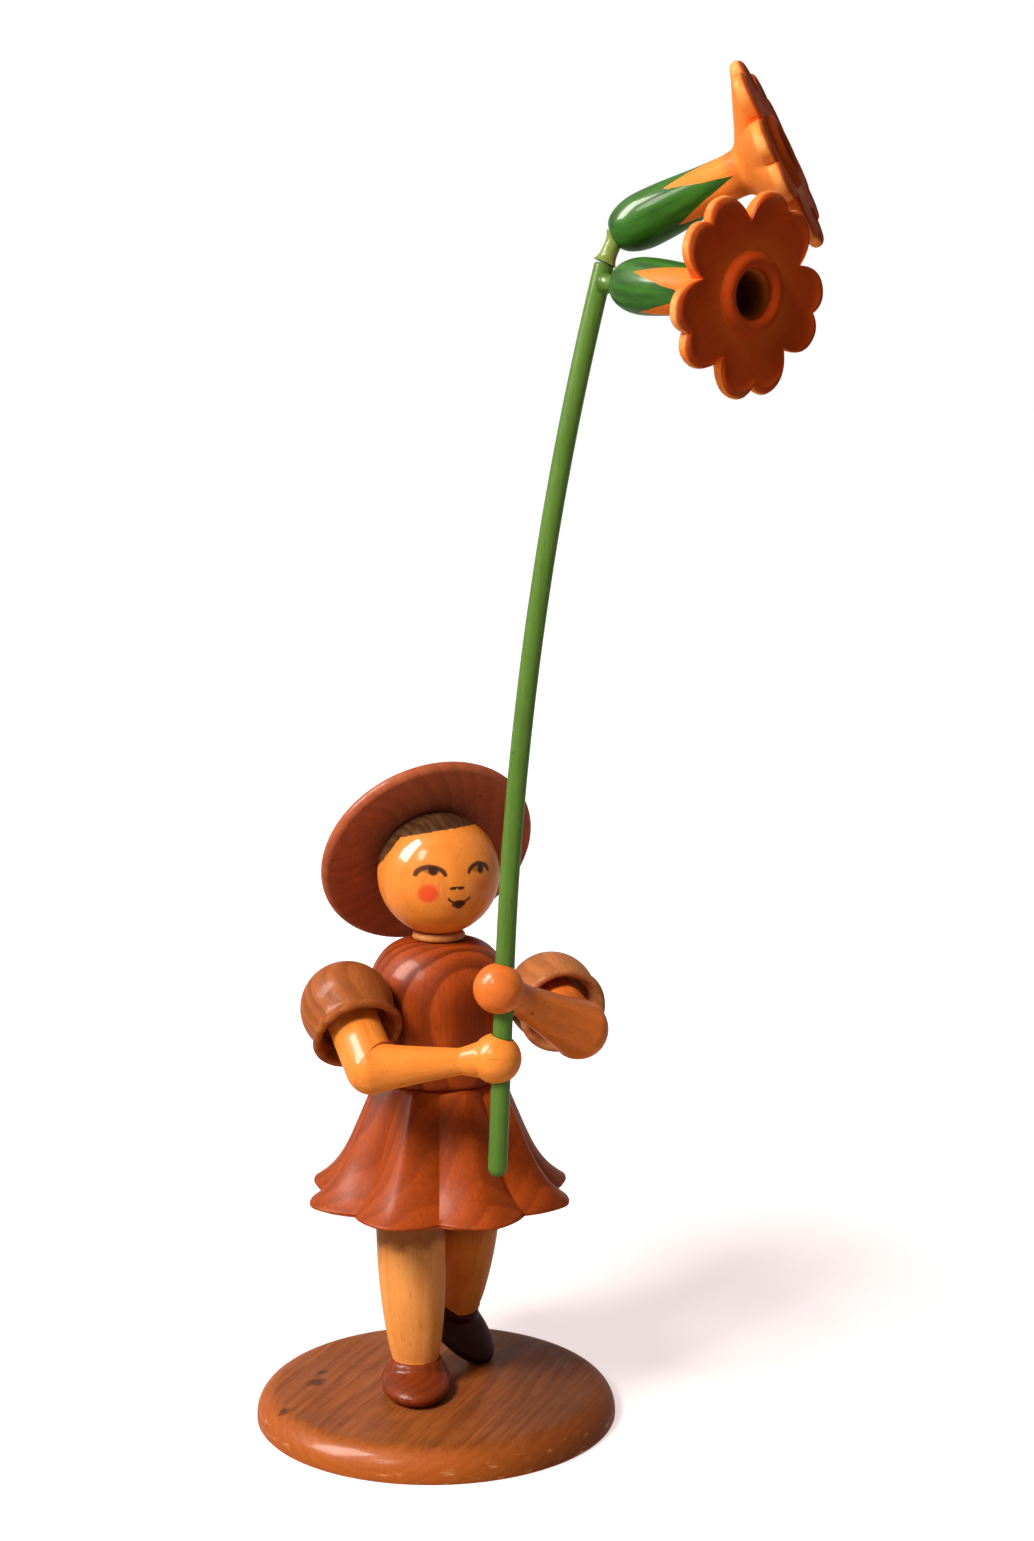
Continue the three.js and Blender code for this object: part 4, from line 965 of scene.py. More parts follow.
class Workbench:
    """Makes meshes in millimetres and settles them as finished pieces in metres."""

    def __init__(self) -> None:
        """Builds the shared shader groups and rules."""
        self.effects = Effects()
        self.rules = Rules()

    def turned(self, name: str, profile: Profile, place: Matrix = IDENTITY, steps: int = 96) -> Object:
        """Turns a profile about Z, as a lathe does, from the front round.

        Args:
            name: The object's name.
            profile: Radius and height of each point, from axis to axis.
            place: The frame that the turned piece is put in.
            steps: The number of sides.

        Returns:
            The object, closed and facing outwards.
        """
        bm = bmesh.new()
        turns = [2 * math.pi * share for share in shares(steps)[:-1]]
        ways = [(math.sin(turn), -math.cos(turn)) for turn in turns]
        rings = []
        for radius, height in profile:
            if radius < ON_AXIS:
                rings.append([bm.verts.new((0.0, 0.0, height))] * steps)
            else:
                rings.append([bm.verts.new((radius * x, radius * y, height)) for x, y in ways])
        for low, high in zip(rings, rings[1:]):
            for i in range(steps):
                j = (i + 1) % steps
                corners = list(dict.fromkeys((low[i], low[j], high[j], high[i])))
                if len(corners) > 2:
                    bm.faces.new(corners)
        bmesh.ops.recalc_face_normals(bm, faces=bm.faces)
        bm.transform(place)
        mesh = bpy.data.meshes.new(name)
        bm.to_mesh(mesh)
        bm.free()
        return stand(name, mesh)

    def swept(self, name: str, points: list[Vector], radii: list[float], finish: WoodFinish) -> Object:
        """Sweeps a rod along points.

        Args:
            name: The object's name.
            points: The points along the rod's middle.
            radii: The radius at each point.
            finish: The rod's finish.

        Returns:
            The object.
        """
        mesh = bpy.data.meshes.new(name)
        mesh.from_pydata(points, [(i, i + 1) for i in range(len(points) - 1)], [])
        mesh.attributes.new("thick", "FLOAT", "POINT").data.foreach_set("value", radii)
        obj = stand(name, mesh)
        self.follow(obj, self.rules.sweep, finish, {})
        self.edit(obj, lambda bm: bmesh.ops.recalc_face_normals(bm, faces=bm.faces))
        return obj

    def follow(self, obj: Object, rule: NodeGroup, finish: WoodFinish, sizes: dict[str, float]) -> None:
        """Shapes an object by a rule, and keeps the result as a plain mesh.

        Args:
            obj: The object.
            rule: The rule.
            finish: The finish that the rule puts on.
            sizes: The rule's other inputs by name.
        """
        modifier = obj.modifiers.new("rule", "NODES")
        modifier.node_group = rule.tree
        for label, value in {**sizes, "Material": finish.material(self.effects)}.items():
            modifier[rule.key(label)] = value
        self.bake(obj)

    def bake(self, obj: Object) -> None:
        """Turns an object's modifiers into its plain mesh.

        Args:
            obj: The object.
        """
        graph = bpy.context.evaluated_depsgraph_get()
        mesh = bpy.data.meshes.new_from_object(obj.evaluated_get(graph))
        before = obj.data
        obj.modifiers.clear()
        obj.data = mesh
        bpy.data.meshes.remove(before)

    def edit(self, obj: Object, change: Callable[[EditMesh], object]) -> None:
        """Changes an object's mesh.

        Args:
            obj: The object.
            change: What is done to its edit mesh.
        """
        bm = bmesh.new()
        bm.from_mesh(obj.data)
        change(bm)
        bm.to_mesh(obj.data)
        bm.free()

    def combine(self, obj: Object, tool: Object, how: Joinery) -> None:
        """Cuts a tool's shape out of an object or adds it, and throws the tool away.

        Args:
            obj: The object.
            tool: The object with the tool's shape.
            how: Whether the shape is cut out or added.
        """
        modifier = obj.modifiers.new("joinery", "BOOLEAN")
        modifier.operation = how.value
        modifier.solver = "EXACT"
        modifier.object = tool
        self.bake(obj)
        shape = tool.data
        bpy.data.objects.remove(tool)
        bpy.data.meshes.remove(shape)

    def saw(self, obj: Object, point: Vector, normal: Vector) -> None:
        """Saws off what lies beyond a plane, and closes the cut.

        Args:
            obj: The object.
            point: A point of the plane.
            normal: The plane's direction, towards what is sawn off.
        """

        def change(bm: EditMesh) -> None:
            """Cuts at the plane and fills the hole."""
            everything = [*bm.verts, *bm.edges, *bm.faces]
            plane = {"plane_co": point, "plane_no": normal}
            done = bmesh.ops.bisect_plane(bm, geom=everything, clear_outer=True, **plane)
            edges = [e for e in done["geom_cut"] if isinstance(e, bmesh.types.BMEdge)]
            bmesh.ops.edgeloop_fill(bm, edges=edges)
            bmesh.ops.recalc_face_normals(bm, faces=bm.faces)

        self.edit(obj, change)

    def settle(
        self, obj: Object, node: str, body: Body, slot: Slot, finish: WoodFinish, place: Matrix = IDENTITY
    ) -> None:
        """Makes an object a finished piece that stands for a node of the frame.

        Args:
            obj: The object, in millimetres.
            node: The node that it replaces.
            body: The body that it rides on.
            slot: The record's material slot; not used.
            finish: Its finish.
            place: The frame of the piece's own axes, which its grain follows.
        """
        mesh = obj.data
        inverse = place.inverted()
        own = [c for vertex in mesh.vertices for c in inverse @ vertex.co]
        mesh.attributes.new(OWN_AXES, "FLOAT_VECTOR", "POINT").data.foreach_set("vector", own)
        mesh.transform(Matrix.Scale(MM, 4))
        mesh.shade_smooth()
        mesh.set_sharp_from_angle(angle=SHARP_FROM)
        mesh.materials.clear()
        mesh.materials.append(finish.material(self.effects))
        obj.name = f"{node}_piece"
        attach(obj, body.value)
        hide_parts(node)
        LOG.info("%s: %d faces on %s", obj.name, len(mesh.polygons), body.value)


SKIN = WoodFinish(
    "honey wood", (250, 150, 60), (212, 106, 32), 1.7, 0.4, pith=(9.0, 4.0, 0.0), fibre_strength=0.25,
)
LEFT_SKIN = WoodFinish(
    "tan wood", (238, 124, 48), (192, 92, 31), 1.7, 0.4, pith=(8.0, 5.0, 0.0), fibre_strength=0.25,
)
RIGHT_LEG = LegWood(
    "right leg wood", (250, 168, 88), (214, 122, 50), 1.7, 0.35, pith=(7.0, 6.0, 0.0), fibre_strength=0.25,
)
# Darker copy of the leg wood for the left leg, which stands behind in the shade: painted shade.
LEFT_LEG_IN_PAINTED_SHADE = LegWood(
    "left leg wood in painted shade", (226, 138, 60), (186, 94, 32), 1.7, 0.35, pith=(6.0, 7.0, 0.0), fibre_strength=0.25,
    upper_darkening_band=(8.0, 12.0),
)
HEAD = PaintedHead(
    "painted head", (246, 146, 56), (216, 112, 36), 1.5, 0.25, pith=(5.0, 9.0, 0.0), fibre_strength=0.2,
    nibs=0.1, coat=0.17, coat_roughness=0.1,
)
DRESS = WoodFinish("dress wood", (178, 76, 24), (88, 27, 6), 1.3, 0.85, 0.6, (0.0, -13.0, 0.0), coat=0.04)
SKIRT = WoodFinish(
    "skirt wood", (178, 76, 24), (110, 40, 10), 1.6, 0.5, 0.8, (4.0, -10.0, 0.0),
    coat=0.02, coat_roughness=0.3,
)
SLEEVE = WoodFinish(
    "sleeve wood", (180, 98, 45), (116, 56, 21), 1.2, 0.6, 0.8, (3.0, 6.0, 0.0), coat=0.025,
)
LEFT_SLEEVE = WoodFinish(
    "pale sleeve wood", (206, 128, 76), (150, 86, 45), 1.2, 0.6, 0.8, (3.0, 6.0, 0.0), coat=0.04,
)
HAT = WoodFinish("hat wood", (186, 94, 60), (130, 65, 38), 1.5, 0.4, 0.7, (8.0, 3.0, 0.0), coat=0.06)
SHOE = WoodFinish("shoe wood", (142, 58, 19), (88, 33, 8), 1.1, 0.5, 0.7, (2.0, 3.0, 5.0), coat=0.05)
# Near-black copy of the shoe wood for the left shoe, which stands in the shade: painted shade.
SHOE_IN_PAINTED_SHADE = WoodFinish("shoe wood in painted shade", (58, 16, 6), (36, 9, 4), 1.1, 0.5, 0.7, (2.0, 3.0, 5.0), coat=0.03)
BASE = BaseWood(
    "base wood", (174, 96, 44), (98, 46, 15), 0.9, 0.45, 0.9, (0.0, 14.0, 0.0), (90.0, -45.0, 0.0),
    fibre_strength=0.5, coat=0.05,
)
PLAIN = WoodFinish("plain wood", (232, 160, 92), (186, 116, 60), 1.4, 0.45)
DOWEL = WoodFinish("dowel wood", (214, 150, 88), (176, 112, 58), 1.2, 0.5, coordinates=Coordinates.FRAME)
STEM = GreenPaint("stem paint", (92, 127, 48), (64, 96, 30), 1.2, 0.2, worn_share=0.12)
UPPER_PEG = GreenPaint("upper peg paint", (132, 148, 70), (88, 110, 40), 1.0, 0.2, worn_share=0.34)
LOWER_PEG = GreenPaint("lower peg paint", (88, 122, 46), (58, 92, 26), 1.0, 0.2)
UPPER_BLOSSOM = BlossomPaint(
    "upper blossom paint", (250, 146, 58), (222, 102, 32), 1.4, 0.15, pith=(7.0, 2.0, 0.0),
    fibre_strength=0.15, coat=0.12, sepal_turn=0.94,
)
LOWER_BLOSSOM = BlossomPaint(
    "lower blossom paint", (248, 132, 44), (210, 84, 20), 1.4, 0.15, pith=(6.0, 4.0, 0.0),
    fibre_strength=0.15, coat=0.12, sepal_turn=0.8, sepal_root=4.2,
)


@dataclass
class Levels:
    """The figure's axis and the heights that its pieces share, in millimetres."""

    x: float = 0.4
    y: float = -0.15
    floor: float = 3.0
    glue: float = 0.08
    hem: float = 22.7
    ceiling: float = 26.2
    waist: float = 34.4
    bodice_height: float = 13.6
    collar_height: float = 0.75
    head_radius: float = 5.95
    head_flat: float = 2.0

    @property
    def bodice(self) -> float:
        """The bodice's foot."""
        return self.waist + self.glue

    @property
    def bodice_top(self) -> float:
        """The bodice's top."""
        return self.bodice + self.bodice_height

    @property
    def collar(self) -> float:
        """The neck collar's foot."""
        return self.bodice_top + self.glue

    @property
    def head_drop(self) -> float:
        """The distance from the head's centre down to its flat."""
        return math.sqrt(self.head_radius**2 - self.head_flat**2)

    @property
    def head_centre(self) -> Vector:
        """The centre of the head's ball."""
        return self.at(self.collar + self.collar_height + self.glue + self.head_drop)

    def at(self, z: float) -> Vector:
        """Returns the point on the figure's axis at a height."""
        return Vector((self.x, self.y, z))


@dataclass
class StemLine:
    """The stem's course: straight through the hands, then bent in an arc."""

    levels: Levels
    x: float = 0.28
    y: float = -15.2
    below_waist: float = 6.0
    lean: float = 2.1
    lean_azimuth: float = -22.0
    straight: float = 19.6
    arc: float = 64.5
    bend: float = 318.0
    radius: float = 0.9

    @property
    def side(self) -> Vector:
        """The level direction that the stem leans towards."""
        return direction(self.lean_azimuth, 0.0)

    @property
    def foot(self) -> Vector:
        """The stem's lower end."""
        run = self.side * self.below_waist * math.tan(math.radians(self.lean))
        return Vector((self.x, self.y, self.levels.waist)) - run - UP * self.below_waist

    @property
    def length(self) -> float:
        """The stem's whole length."""
        return self.straight + self.arc

    def angle(self, distance: float) -> float:
        """Returns the stem's lean at a distance from its foot, in radians."""
        return math.radians(self.lean) + max(0.0, distance - self.straight) / self.bend

    def tangent(self, distance: float) -> Vector:
        """Returns the stem's direction at a distance from its foot."""
        angle = self.angle(distance)
        return UP * math.cos(angle) + self.side * math.sin(angle)

    def point(self, distance: float) -> Vector:
        """Returns a point of the stem's middle.

        Args:
            distance: The distance from the foot.

        Returns:
            The point.
        """
        start, angle = self.angle(0.0), self.angle(distance)
        rise = self.bend * (math.sin(angle) - math.sin(start))
        run = self.bend * (math.cos(start) - math.cos(angle))
        return self.foot + self.tangent(0.0) * min(distance, self.straight) + UP * rise + self.side * run

    def at_height(self, z: float) -> Vector:
        """Returns the point of the straight part, carried on, at a height."""
        way = self.tangent(0.0)
        return self.foot + way * ((z - self.foot.z) / way.z)


@dataclass
class SubAssembly:
    """Pieces that are made together at one bench."""

    bench: Workbench


@dataclass
class BaseDisc(SubAssembly):
    """The round base."""

    radius: float = BASE_RADIUS
    top_radius: float = 15.3
    thickness: float = 3.0
    edge: float = 0.5
    soft: float = 0.22
    sides: int = 160

    def build(self) -> None:
        """Turns the base and dresses it."""
        foot = bow((self.radius - self.soft, self.soft), self.soft, (-90, 0), 5)
        size = (self.radius - self.top_radius, self.thickness - self.edge)
        shoulder = arc((self.top_radius, self.edge), size, (0, 90), 16)
        rings = [(self.top_radius * share, self.thickness) for share in (0.75, 0.5, 0.25)]
        profile = [(0.0, 0.0), *foot, *shoulder, *rings, (0.0, self.thickness)]
        disc = self.bench.turned("base", profile, steps=self.sides)
        self.bench.settle(disc, "base_disc", Body.FIGURE, Slot.BASE, BASE)


@dataclass
class Walk(SubAssembly):
    """The two legs and their shoes: the right shoe flat, the left one up on its toe."""

    levels: Levels
    toe: float = 6.85
    heel: float = 4.0
    width: float = 6.8
    cap: float = 2.35
    bulge: float = 0.88
    collar_radius: float = 2.65
    collar_height: float = 3.05
    collar_foot: Pair = (0.3, 0.6)
    collar_edge: Pair = (0.2, 0.25)
    right_turn: float = -20.0
    left_turn: float = 30.0
    heel_lift: float = 41.0
    toe_flat: float = 0.7
    ankle_radius: float = 2.3
    ankle_tenon: float = 0.5
    calf_radius: float = 3.35
    leg_gap: float = 0.2
    swell: float = 0.75
    calf_height: float = 11.0
    right_ankle: Pair = (-2.23, -0.03)
    left_ankle: Pair = (4.85, 5.95)
    voxel: float = 0.13
    sandings: int = 8

    def build(self) -> None:
        """Builds both legs in their shoes."""
        sole = self.levels.floor + self.levels.glue
        lift = math.radians(self.heel_lift)
        drop = self.toe * math.sin(lift) + self.collar_height * math.cos(lift)
        right = Vector((*self.right_ankle, sole + self.collar_height))
        left = Vector((*self.left_ankle, sole + drop - self.toe_flat))
        spread = self.calf_radius + self.leg_gap / 2
        for side, ankle, turn, tip, offset, shoe_finish, leg_finish in (
            ("right", right, self.right_turn, 0.0, -spread, SHOE, RIGHT_LEG),
            # The left shoe and leg take darker copies of their finishes: painted shade.
            ("left", left, self.left_turn, lift, spread, SHOE_IN_PAINTED_SHADE, LEFT_LEG_IN_PAINTED_SHADE),
        ):
            turned = Matrix.Translation(ankle) @ Matrix.Rotation(math.radians(turn), 4, "Z")
            frame = turned @ Matrix.Rotation(tip, 4, "X") @ Matrix.Translation((0, 0, -self.collar_height))
            shoe = self._shoe(frame, sole)
            self.bench.settle(shoe, f"{side}_shoe", Body.FIGURE, Slot.SHOE, shoe_finish, frame)
            hip = self.levels.at(self.levels.ceiling) + Vector((offset, 0.0, 0.0))
            leg_frame = frame_along(ankle, hip - ankle)
            leg = self._leg(ankle, hip, leg_frame)
            self.bench.settle(leg, f"{side}_leg", Body.FIGURE, Slot.SKIN, leg_finish, leg_frame)

    def _shoe(self, frame: Matrix, sole: float) -> Object:
        """Carves one shoe: cap and collar worked into one form, flat underneath.

        Args:
            frame: The frame that the shoe is put in.
            sole: The height that it is cut level at.

        Returns:
            The shoe.
        """
        half = (self.width / 2, (self.toe + self.heel) / 2, self.cap - self.bulge)
        middle = Matrix.Translation((0, (self.heel - self.toe) / 2, self.bulge))
        ball = [(0.0, -1.0), *bow(AXIS, 1.0, (-84, 84), 28), (0.0, 1.0)]
        shoe = self.bench.turned("shoe", ball, middle @ Matrix.Diagonal((*half, 1.0)))
        foot = self.collar_radius + (self.collar_height - self.bulge) / 4
        top = self.collar_height - self.levels.glue
        spread, rise = self.collar_foot
        inset, drop = self.collar_edge
        collar = self.bench.turned("collar", [
            (0.0, self.bulge), (foot + spread, self.bulge), (foot, self.bulge + rise),
            (self.collar_radius, top - drop), (self.collar_radius - inset, top), (0.0, top),
        ])
        self.bench.combine(shoe, collar, Joinery.ADD)
        remesh = shoe.modifiers.new("worked", "REMESH")
        remesh.mode = "VOXEL"
        remesh.voxel_size = self.voxel
        shoe.modifiers.new("sanded", "SMOOTH").iterations = self.sandings
        self.bench.bake(shoe)
        self.bench.saw(shoe, Vector((0, 0, 0)), -UP)
        shoe.data.transform(frame)
        self.bench.saw(shoe, Vector((0, 0, sole)), -UP)
        return shoe

    def _leg(self, ankle: Vector, hip: Vector, frame: Matrix) -> Object:
        """Turns one leg and cuts it level under the skirt.

        Args:
            ankle: The middle of the leg's lower end.
            hip: The middle of its upper end.
            frame: The frame of its own axis.

        Returns:
            The leg.
        """
        way = (hip - ankle).normalized()
        length = (self.levels.ceiling - ankle.z) / way.z + self.calf_radius
        line = [(0.0, -self.ankle_tenon), (self.ankle_radius, -self.ankle_tenon)]
        for share in shares(44):
            distance = length * share
            swell = math.sin(min(distance / self.calf_height, 1.0) * math.pi / 2) ** self.swell
            line.append((lerp(self.ankle_radius, self.calf_radius, swell), distance))
        leg = self.bench.turned("leg", [*line, (0.0, length)], frame)
        self.bench.saw(leg, self.levels.at(self.levels.ceiling - self.levels.glue), UP)
        return leg


@dataclass
class Dress(SubAssembly):
    """The pleated skirt, the bodice and the neck collar."""

    levels: Levels
    hem_radius: float = 13.45
    waist_radius: float = 6.4
    edge: float = 0.3
    soft: float = 0.06
    flare: float = 2.15
    flare_power: float = 6.5
    hip_power: float = 0.9
    hollow_radius: float = 10.4
    hollow_edge: float = 0.25
    hollow_middle: Pair = (9.5, 0.42)
    ceiling_radius: float = 7.8
    waist_edge: Pair = (0.3, 0.25)
    row_power: float = 1.6
    pleats: int = 8
    pleat_sides: int = 26
    hem_depth: float = 2.1
    waist_depth: float = 0.95
    hem_roundness: float = 1.5
    waist_roundness: float = 1.0
    bodice_radius: float = 7.1
    bodice_waist: float = 6.2
    bodice_edge: Pair = (0.2, 0.15)
    bodice_sides: int = 128
    fullest: float = 7.4
    neck_radius: float = 2.8
    shoulder_power: float = 2.1
    collar_radius: float = 2.6

    def build(self) -> None:
        """Builds the three pieces on the figure's axis."""
        self._skirt()
        place = Matrix.Translation(self.levels.at(0.0))
        bodice = self.bench.turned("bodice", self.bodice_profile(), place, self.bodice_sides)
        self.bench.settle(bodice, "bodice", Body.FIGURE, Slot.DRESS, DRESS, place)
        half = self.levels.collar_height / 2
        ring = bow((self.collar_radius - half, half), half, (-90, 90), 10)
        seat = Matrix.Translation(self.levels.at(self.levels.collar))
        collar = self.bench.turned("collar", [(0.0, 0.0), *ring, (0.0, 2 * half)], seat)
        self.bench.settle(collar, "neck_collar", Body.FIGURE, Slot.PLAIN, PLAIN, seat)

    def _crest(self, up: float, height: float) -> float:
        """Returns the radius on the crest of a pleat.

        Args:
            up: The height above the hem.
            height: The skirt's whole height.

        Returns:
            The radius.
        """
        down = min(max((height - up) / (height - self.edge), 0.0), 1.0)
        cone = lerp(self.waist_radius, self.hem_radius - self.flare, down**self.hip_power)
        return cone + self.flare * down**self.flare_power

    def _skirt(self) -> None:
        """Turns the bell, hollow underneath, and cuts its pleats by the rule."""
        height = self.levels.waist - self.levels.hem
        hollow = self.levels.ceiling - self.levels.hem
        wide, share = self.hollow_middle
        inset, drop = self.waist_edge
        inner = flowing([
            (self.ceiling_radius, hollow), (wide, hollow * share), (self.hollow_radius, self.hollow_edge),
        ])
        lip = [
            (self.hollow_radius + self.edge, 0.0),
            (self.hem_radius - self.edge, 0.0),
            (self.hem_radius - self.soft, self.soft),
        ]
        rows = [lerp(self.edge / 2, height - drop, step**self.row_power) for step in shares(40)]
        outer = [(self._crest(z, height), z) for z in rows]
        crown = [(self.waist_radius - inset, height), (0.0, height)]
        profile = [(0.0, hollow), *inner, *lip, *outer, *crown]
        weights = [0.0] * (1 + len(inner)) + [0.0, 0.8, 1.0] + [1.0] * len(outer) + [1.0, 0.0]
        sides = self.pleats * self.pleat_sides
        skirt = self.bench.turned("skirt", profile, steps=sides)
        skin = [weight for (r, _), weight in zip(profile, weights) for _ in range(sides if r > 0 else 1)]
        skirt.data.attributes.new("skin", "FLOAT", "POINT").data.foreach_set("value", skin)
        self.bench.follow(skirt, self.bench.rules.pleats, SKIRT, {
            "Count": float(self.pleats),
            "Hem Depth": self.hem_depth,
            "Waist Depth": self.waist_depth,
            "Hem Roundness": self.hem_roundness,
            "Waist Roundness": self.waist_roundness,
            "Height": height,
        })
        place = Matrix.Translation(self.levels.at(self.levels.hem))
        skirt.data.transform(place)
        self.bench.settle(skirt, "skirt", Body.FIGURE, Slot.DRESS, SKIRT, place)

    def bodice_profile(self, margin: float = 0.0) -> Profile:
        """Returns the bodice's outline.

        Args:
            margin: How far it is grown for the sleeves' seats.

        Returns:
            The outline, from axis to axis.
        """
        foot, top = self.levels.bodice, self.levels.bodice_top
        full = foot + self.fullest
        waist, radius = self.bodice_waist + margin, self.bodice_radius + margin
        inset, rise = self.bodice_edge
        lower = [
            (lerp(waist, radius, math.sin(share * math.pi / 2)), lerp(foot, full, share))
            for share in shares(16)[1:]
        ]
        upper = []
        for across, over in bow(AXIS, 1.0, (0, 90), 28)[1:]:
            wide = self.neck_radius + (radius - self.neck_radius) * abs(across) ** (2 / self.shoulder_power)
            upper.append((wide, full + (top - full + margin) * over ** (2 / self.shoulder_power)))
        soft = [(0.0, foot), (waist - inset, foot), (waist, foot + rise)]
        return [*soft, *lower, *upper, (0.0, top + margin)]


@dataclass(frozen=True)
class ArmPlan:
    """The places, the directions and the finishes of one arm."""

    side: str
    sign: int
    rise: float
    drop: float
    inward: float
    hand_rise: float
    bore_beyond: float
    girth: float
    finish: WoodFinish
    sleeve_finish: WoodFinish


@dataclass
class Arms(SubAssembly):
    """Both sleeves with their hollow cuffs, the upper arms and the forearms with their bored ball hands."""

    levels: Levels
    stem: StemLine
    dress: Dress
    azimuth: float = 74.0
    sleeve_radius: float = 4.45
    seat: float = 0.45
    neck: float = 3.95
    cuff: float = 4.4
    cuff_reach: float = 3.75
    lip: float = 0.8
    lip_foot: Pair = (0.12, 0.6)
    neck_back: float = 1.2
    cuff_depth: float = 3.0
    cuff_soft: float = 0.3
    arm_radius: float = 2.45
    upper_length: float = 7.9
    wrist: float = 1.25
    wrist_back: float = 3.3
    hand_meets: float = 45.0
    taper: float = 1.25
    hand_radius: float = 2.35
    play: float = 0.12
    bore_sides: int = 48
    mitre_gap: float = 0.012
    right: ArmPlan = ArmPlan("right", -1, 8.5, 33.5, 0.0, 5.3, 0.5, 1.0, SKIN, SLEEVE)
    left: ArmPlan = ArmPlan("left", 1, 7.6, 10.5, 5.5, 11.6, -0.85, 1.2, LEFT_SKIN, LEFT_SLEEVE)

    def build(self) -> None:
        """Builds both arms from sleeve to hand."""
        for plan in (self.right, self.left):
            level = self.levels.at(self.levels.waist + plan.rise)
            reach = self.dress.bodice_radius + self.sleeve_radius - self.seat
            shoulder = level + direction(-90 + plan.sign * self.azimuth, 0) * reach
            upper_way = direction(-90 - plan.sign * plan.inward, -plan.drop)
            elbow = shoulder + upper_way * self.upper_length
            grip = self.stem.at_height(self.levels.waist + plan.hand_rise)
            lower_way = (grip - elbow).normalized()
            hand = grip - lower_way * plan.bore_beyond
            mitre = (upper_way + lower_way).normalized()
            frame = frame_along(shoulder, upper_way)
            self._sleeve(plan, frame)
            self._upper(plan, frame, elbow, mitre)
            self._forearm(plan, elbow, hand, mitre)

    def _sleeve(self, plan: ArmPlan, frame: Matrix) -> None:
        """Turns a puffed sleeve with a lipped hollow cuff and fits it to the bodice.

        Args:
            plan: The arm's plan.
            frame: The sleeve's frame, at the shoulder and along the upper arm.
        """
        neck_at = self.cuff_reach - self.neck_back
        floor = self.cuff_reach - self.cuff_depth
        half, inside = self.lip / 2, self.neck - self.lip
        inset, share = self.lip_foot
        puff = bow(AXIS, self.sleeve_radius, (-88, 14), 34)
        foot = (self.cuff - inset, self.cuff_reach - self.lip * share)
        waist = flowing([puff[-1], (self.neck, neck_at), foot])[1:]
        mouth = bow((self.cuff - half, self.cuff_reach - half), half, (10, 170), 12)
        inner = [(inside, neck_at), (inside, floor + self.cuff_soft), (inside - self.cuff_soft, floor)]
        profile = [(0.0, -self.sleeve_radius), *puff, *waist, *mouth, *inner, (0.0, floor)]
        sleeve = self.bench.turned("sleeve", profile, frame)
        seat = self.dress.bodice_profile(self.levels.glue / 2)
        body = self.bench.turned("seat", seat, Matrix.Translation(self.levels.at(0.0)))
        self.bench.combine(sleeve, body, Joinery.CUT)
        self.bench.settle(sleeve, f"{plan.side}_sleeve", Body.FIGURE, Slot.SLEEVE, plan.sleeve_finish, frame)

    def _upper(self, plan: ArmPlan, frame: Matrix, elbow: Vector, mitre: Vector) -> None:
        """Turns an upper arm and saws its elbow on the mitre.

        Args:
            plan: The arm's plan.
            frame: The arm's frame, at the shoulder.
            elbow: The point where both arms' axes meet.
            mitre: The direction across the elbow's cut.
        """
        radius, length = self.arm_radius, self.upper_length
        foot = self.cuff_reach - self.cuff_depth + self.levels.glue
        shaft = [(radius, lerp(foot, length, share)) for share in shares(12)[:-1]]
        knob = bow((0.0, length), radius, (0, 84), 16)
        arm = self.bench.turned("arm", [(0.0, foot), *shaft, *knob, (0.0, length + radius)], frame)
        self.bench.saw(arm, elbow - mitre * self.mitre_gap, mitre)
        self.bench.settle(arm, f"{plan.side}_upper_arm", Body.FIGURE, Slot.SKIN, plan.finish, frame)

    def _forearm(self, plan: ArmPlan, elbow: Vector, hand: Vector, mitre: Vector) -> None:
        """Turns a forearm with its ball hand, saws it on the mitre and bores it for the stem.

        Args:
            plan: The arm's plan.
            elbow: The point where both arms' axes meet.
            hand: The centre of the ball hand.
            mitre: The direction across the elbow's cut.
        """
        length = (hand - elbow).length
        stout, slim = self.arm_radius * plan.girth, self.wrist * plan.girth
        shaft = [
            (lerp(stout, slim, share ** (1 / self.taper)), (length - self.wrist_back) * share)
            for share in shares(24)
        ]
        knob = bow(AXIS, stout, (-84, -6), 14)
        ball = bow((0.0, length), self.hand_radius, (-self.hand_meets, 84), 30)
        wrist = flowing([shaft[-1], ball[0]], 5)[1:-1]
        profile = [(0.0, -stout), *knob, *shaft, *wrist, *ball, (0.0, length + self.hand_radius)]
        frame = frame_along(elbow, hand - elbow)
        arm = self.bench.turned("forearm", profile, frame)
        self.bench.saw(arm, elbow + mitre * self.mitre_gap, -mitre)
        reach = 2 * self.hand_radius
        radius = self.stem.radius + self.play
        rod = [(0.0, 0.0), (radius, 0.0), (radius, 2 * reach), (0.0, 2 * reach)]
        bored = frame_along(self.stem.at_height(hand.z - reach), self.stem.tangent(0.0))
        self.bench.combine(arm, self.bench.turned("bore", rod, bored, self.bore_sides), Joinery.CUT)
        self.bench.settle(arm, f"{plan.side}_forearm", Body.FIGURE, Slot.SKIN, plan.finish, frame)


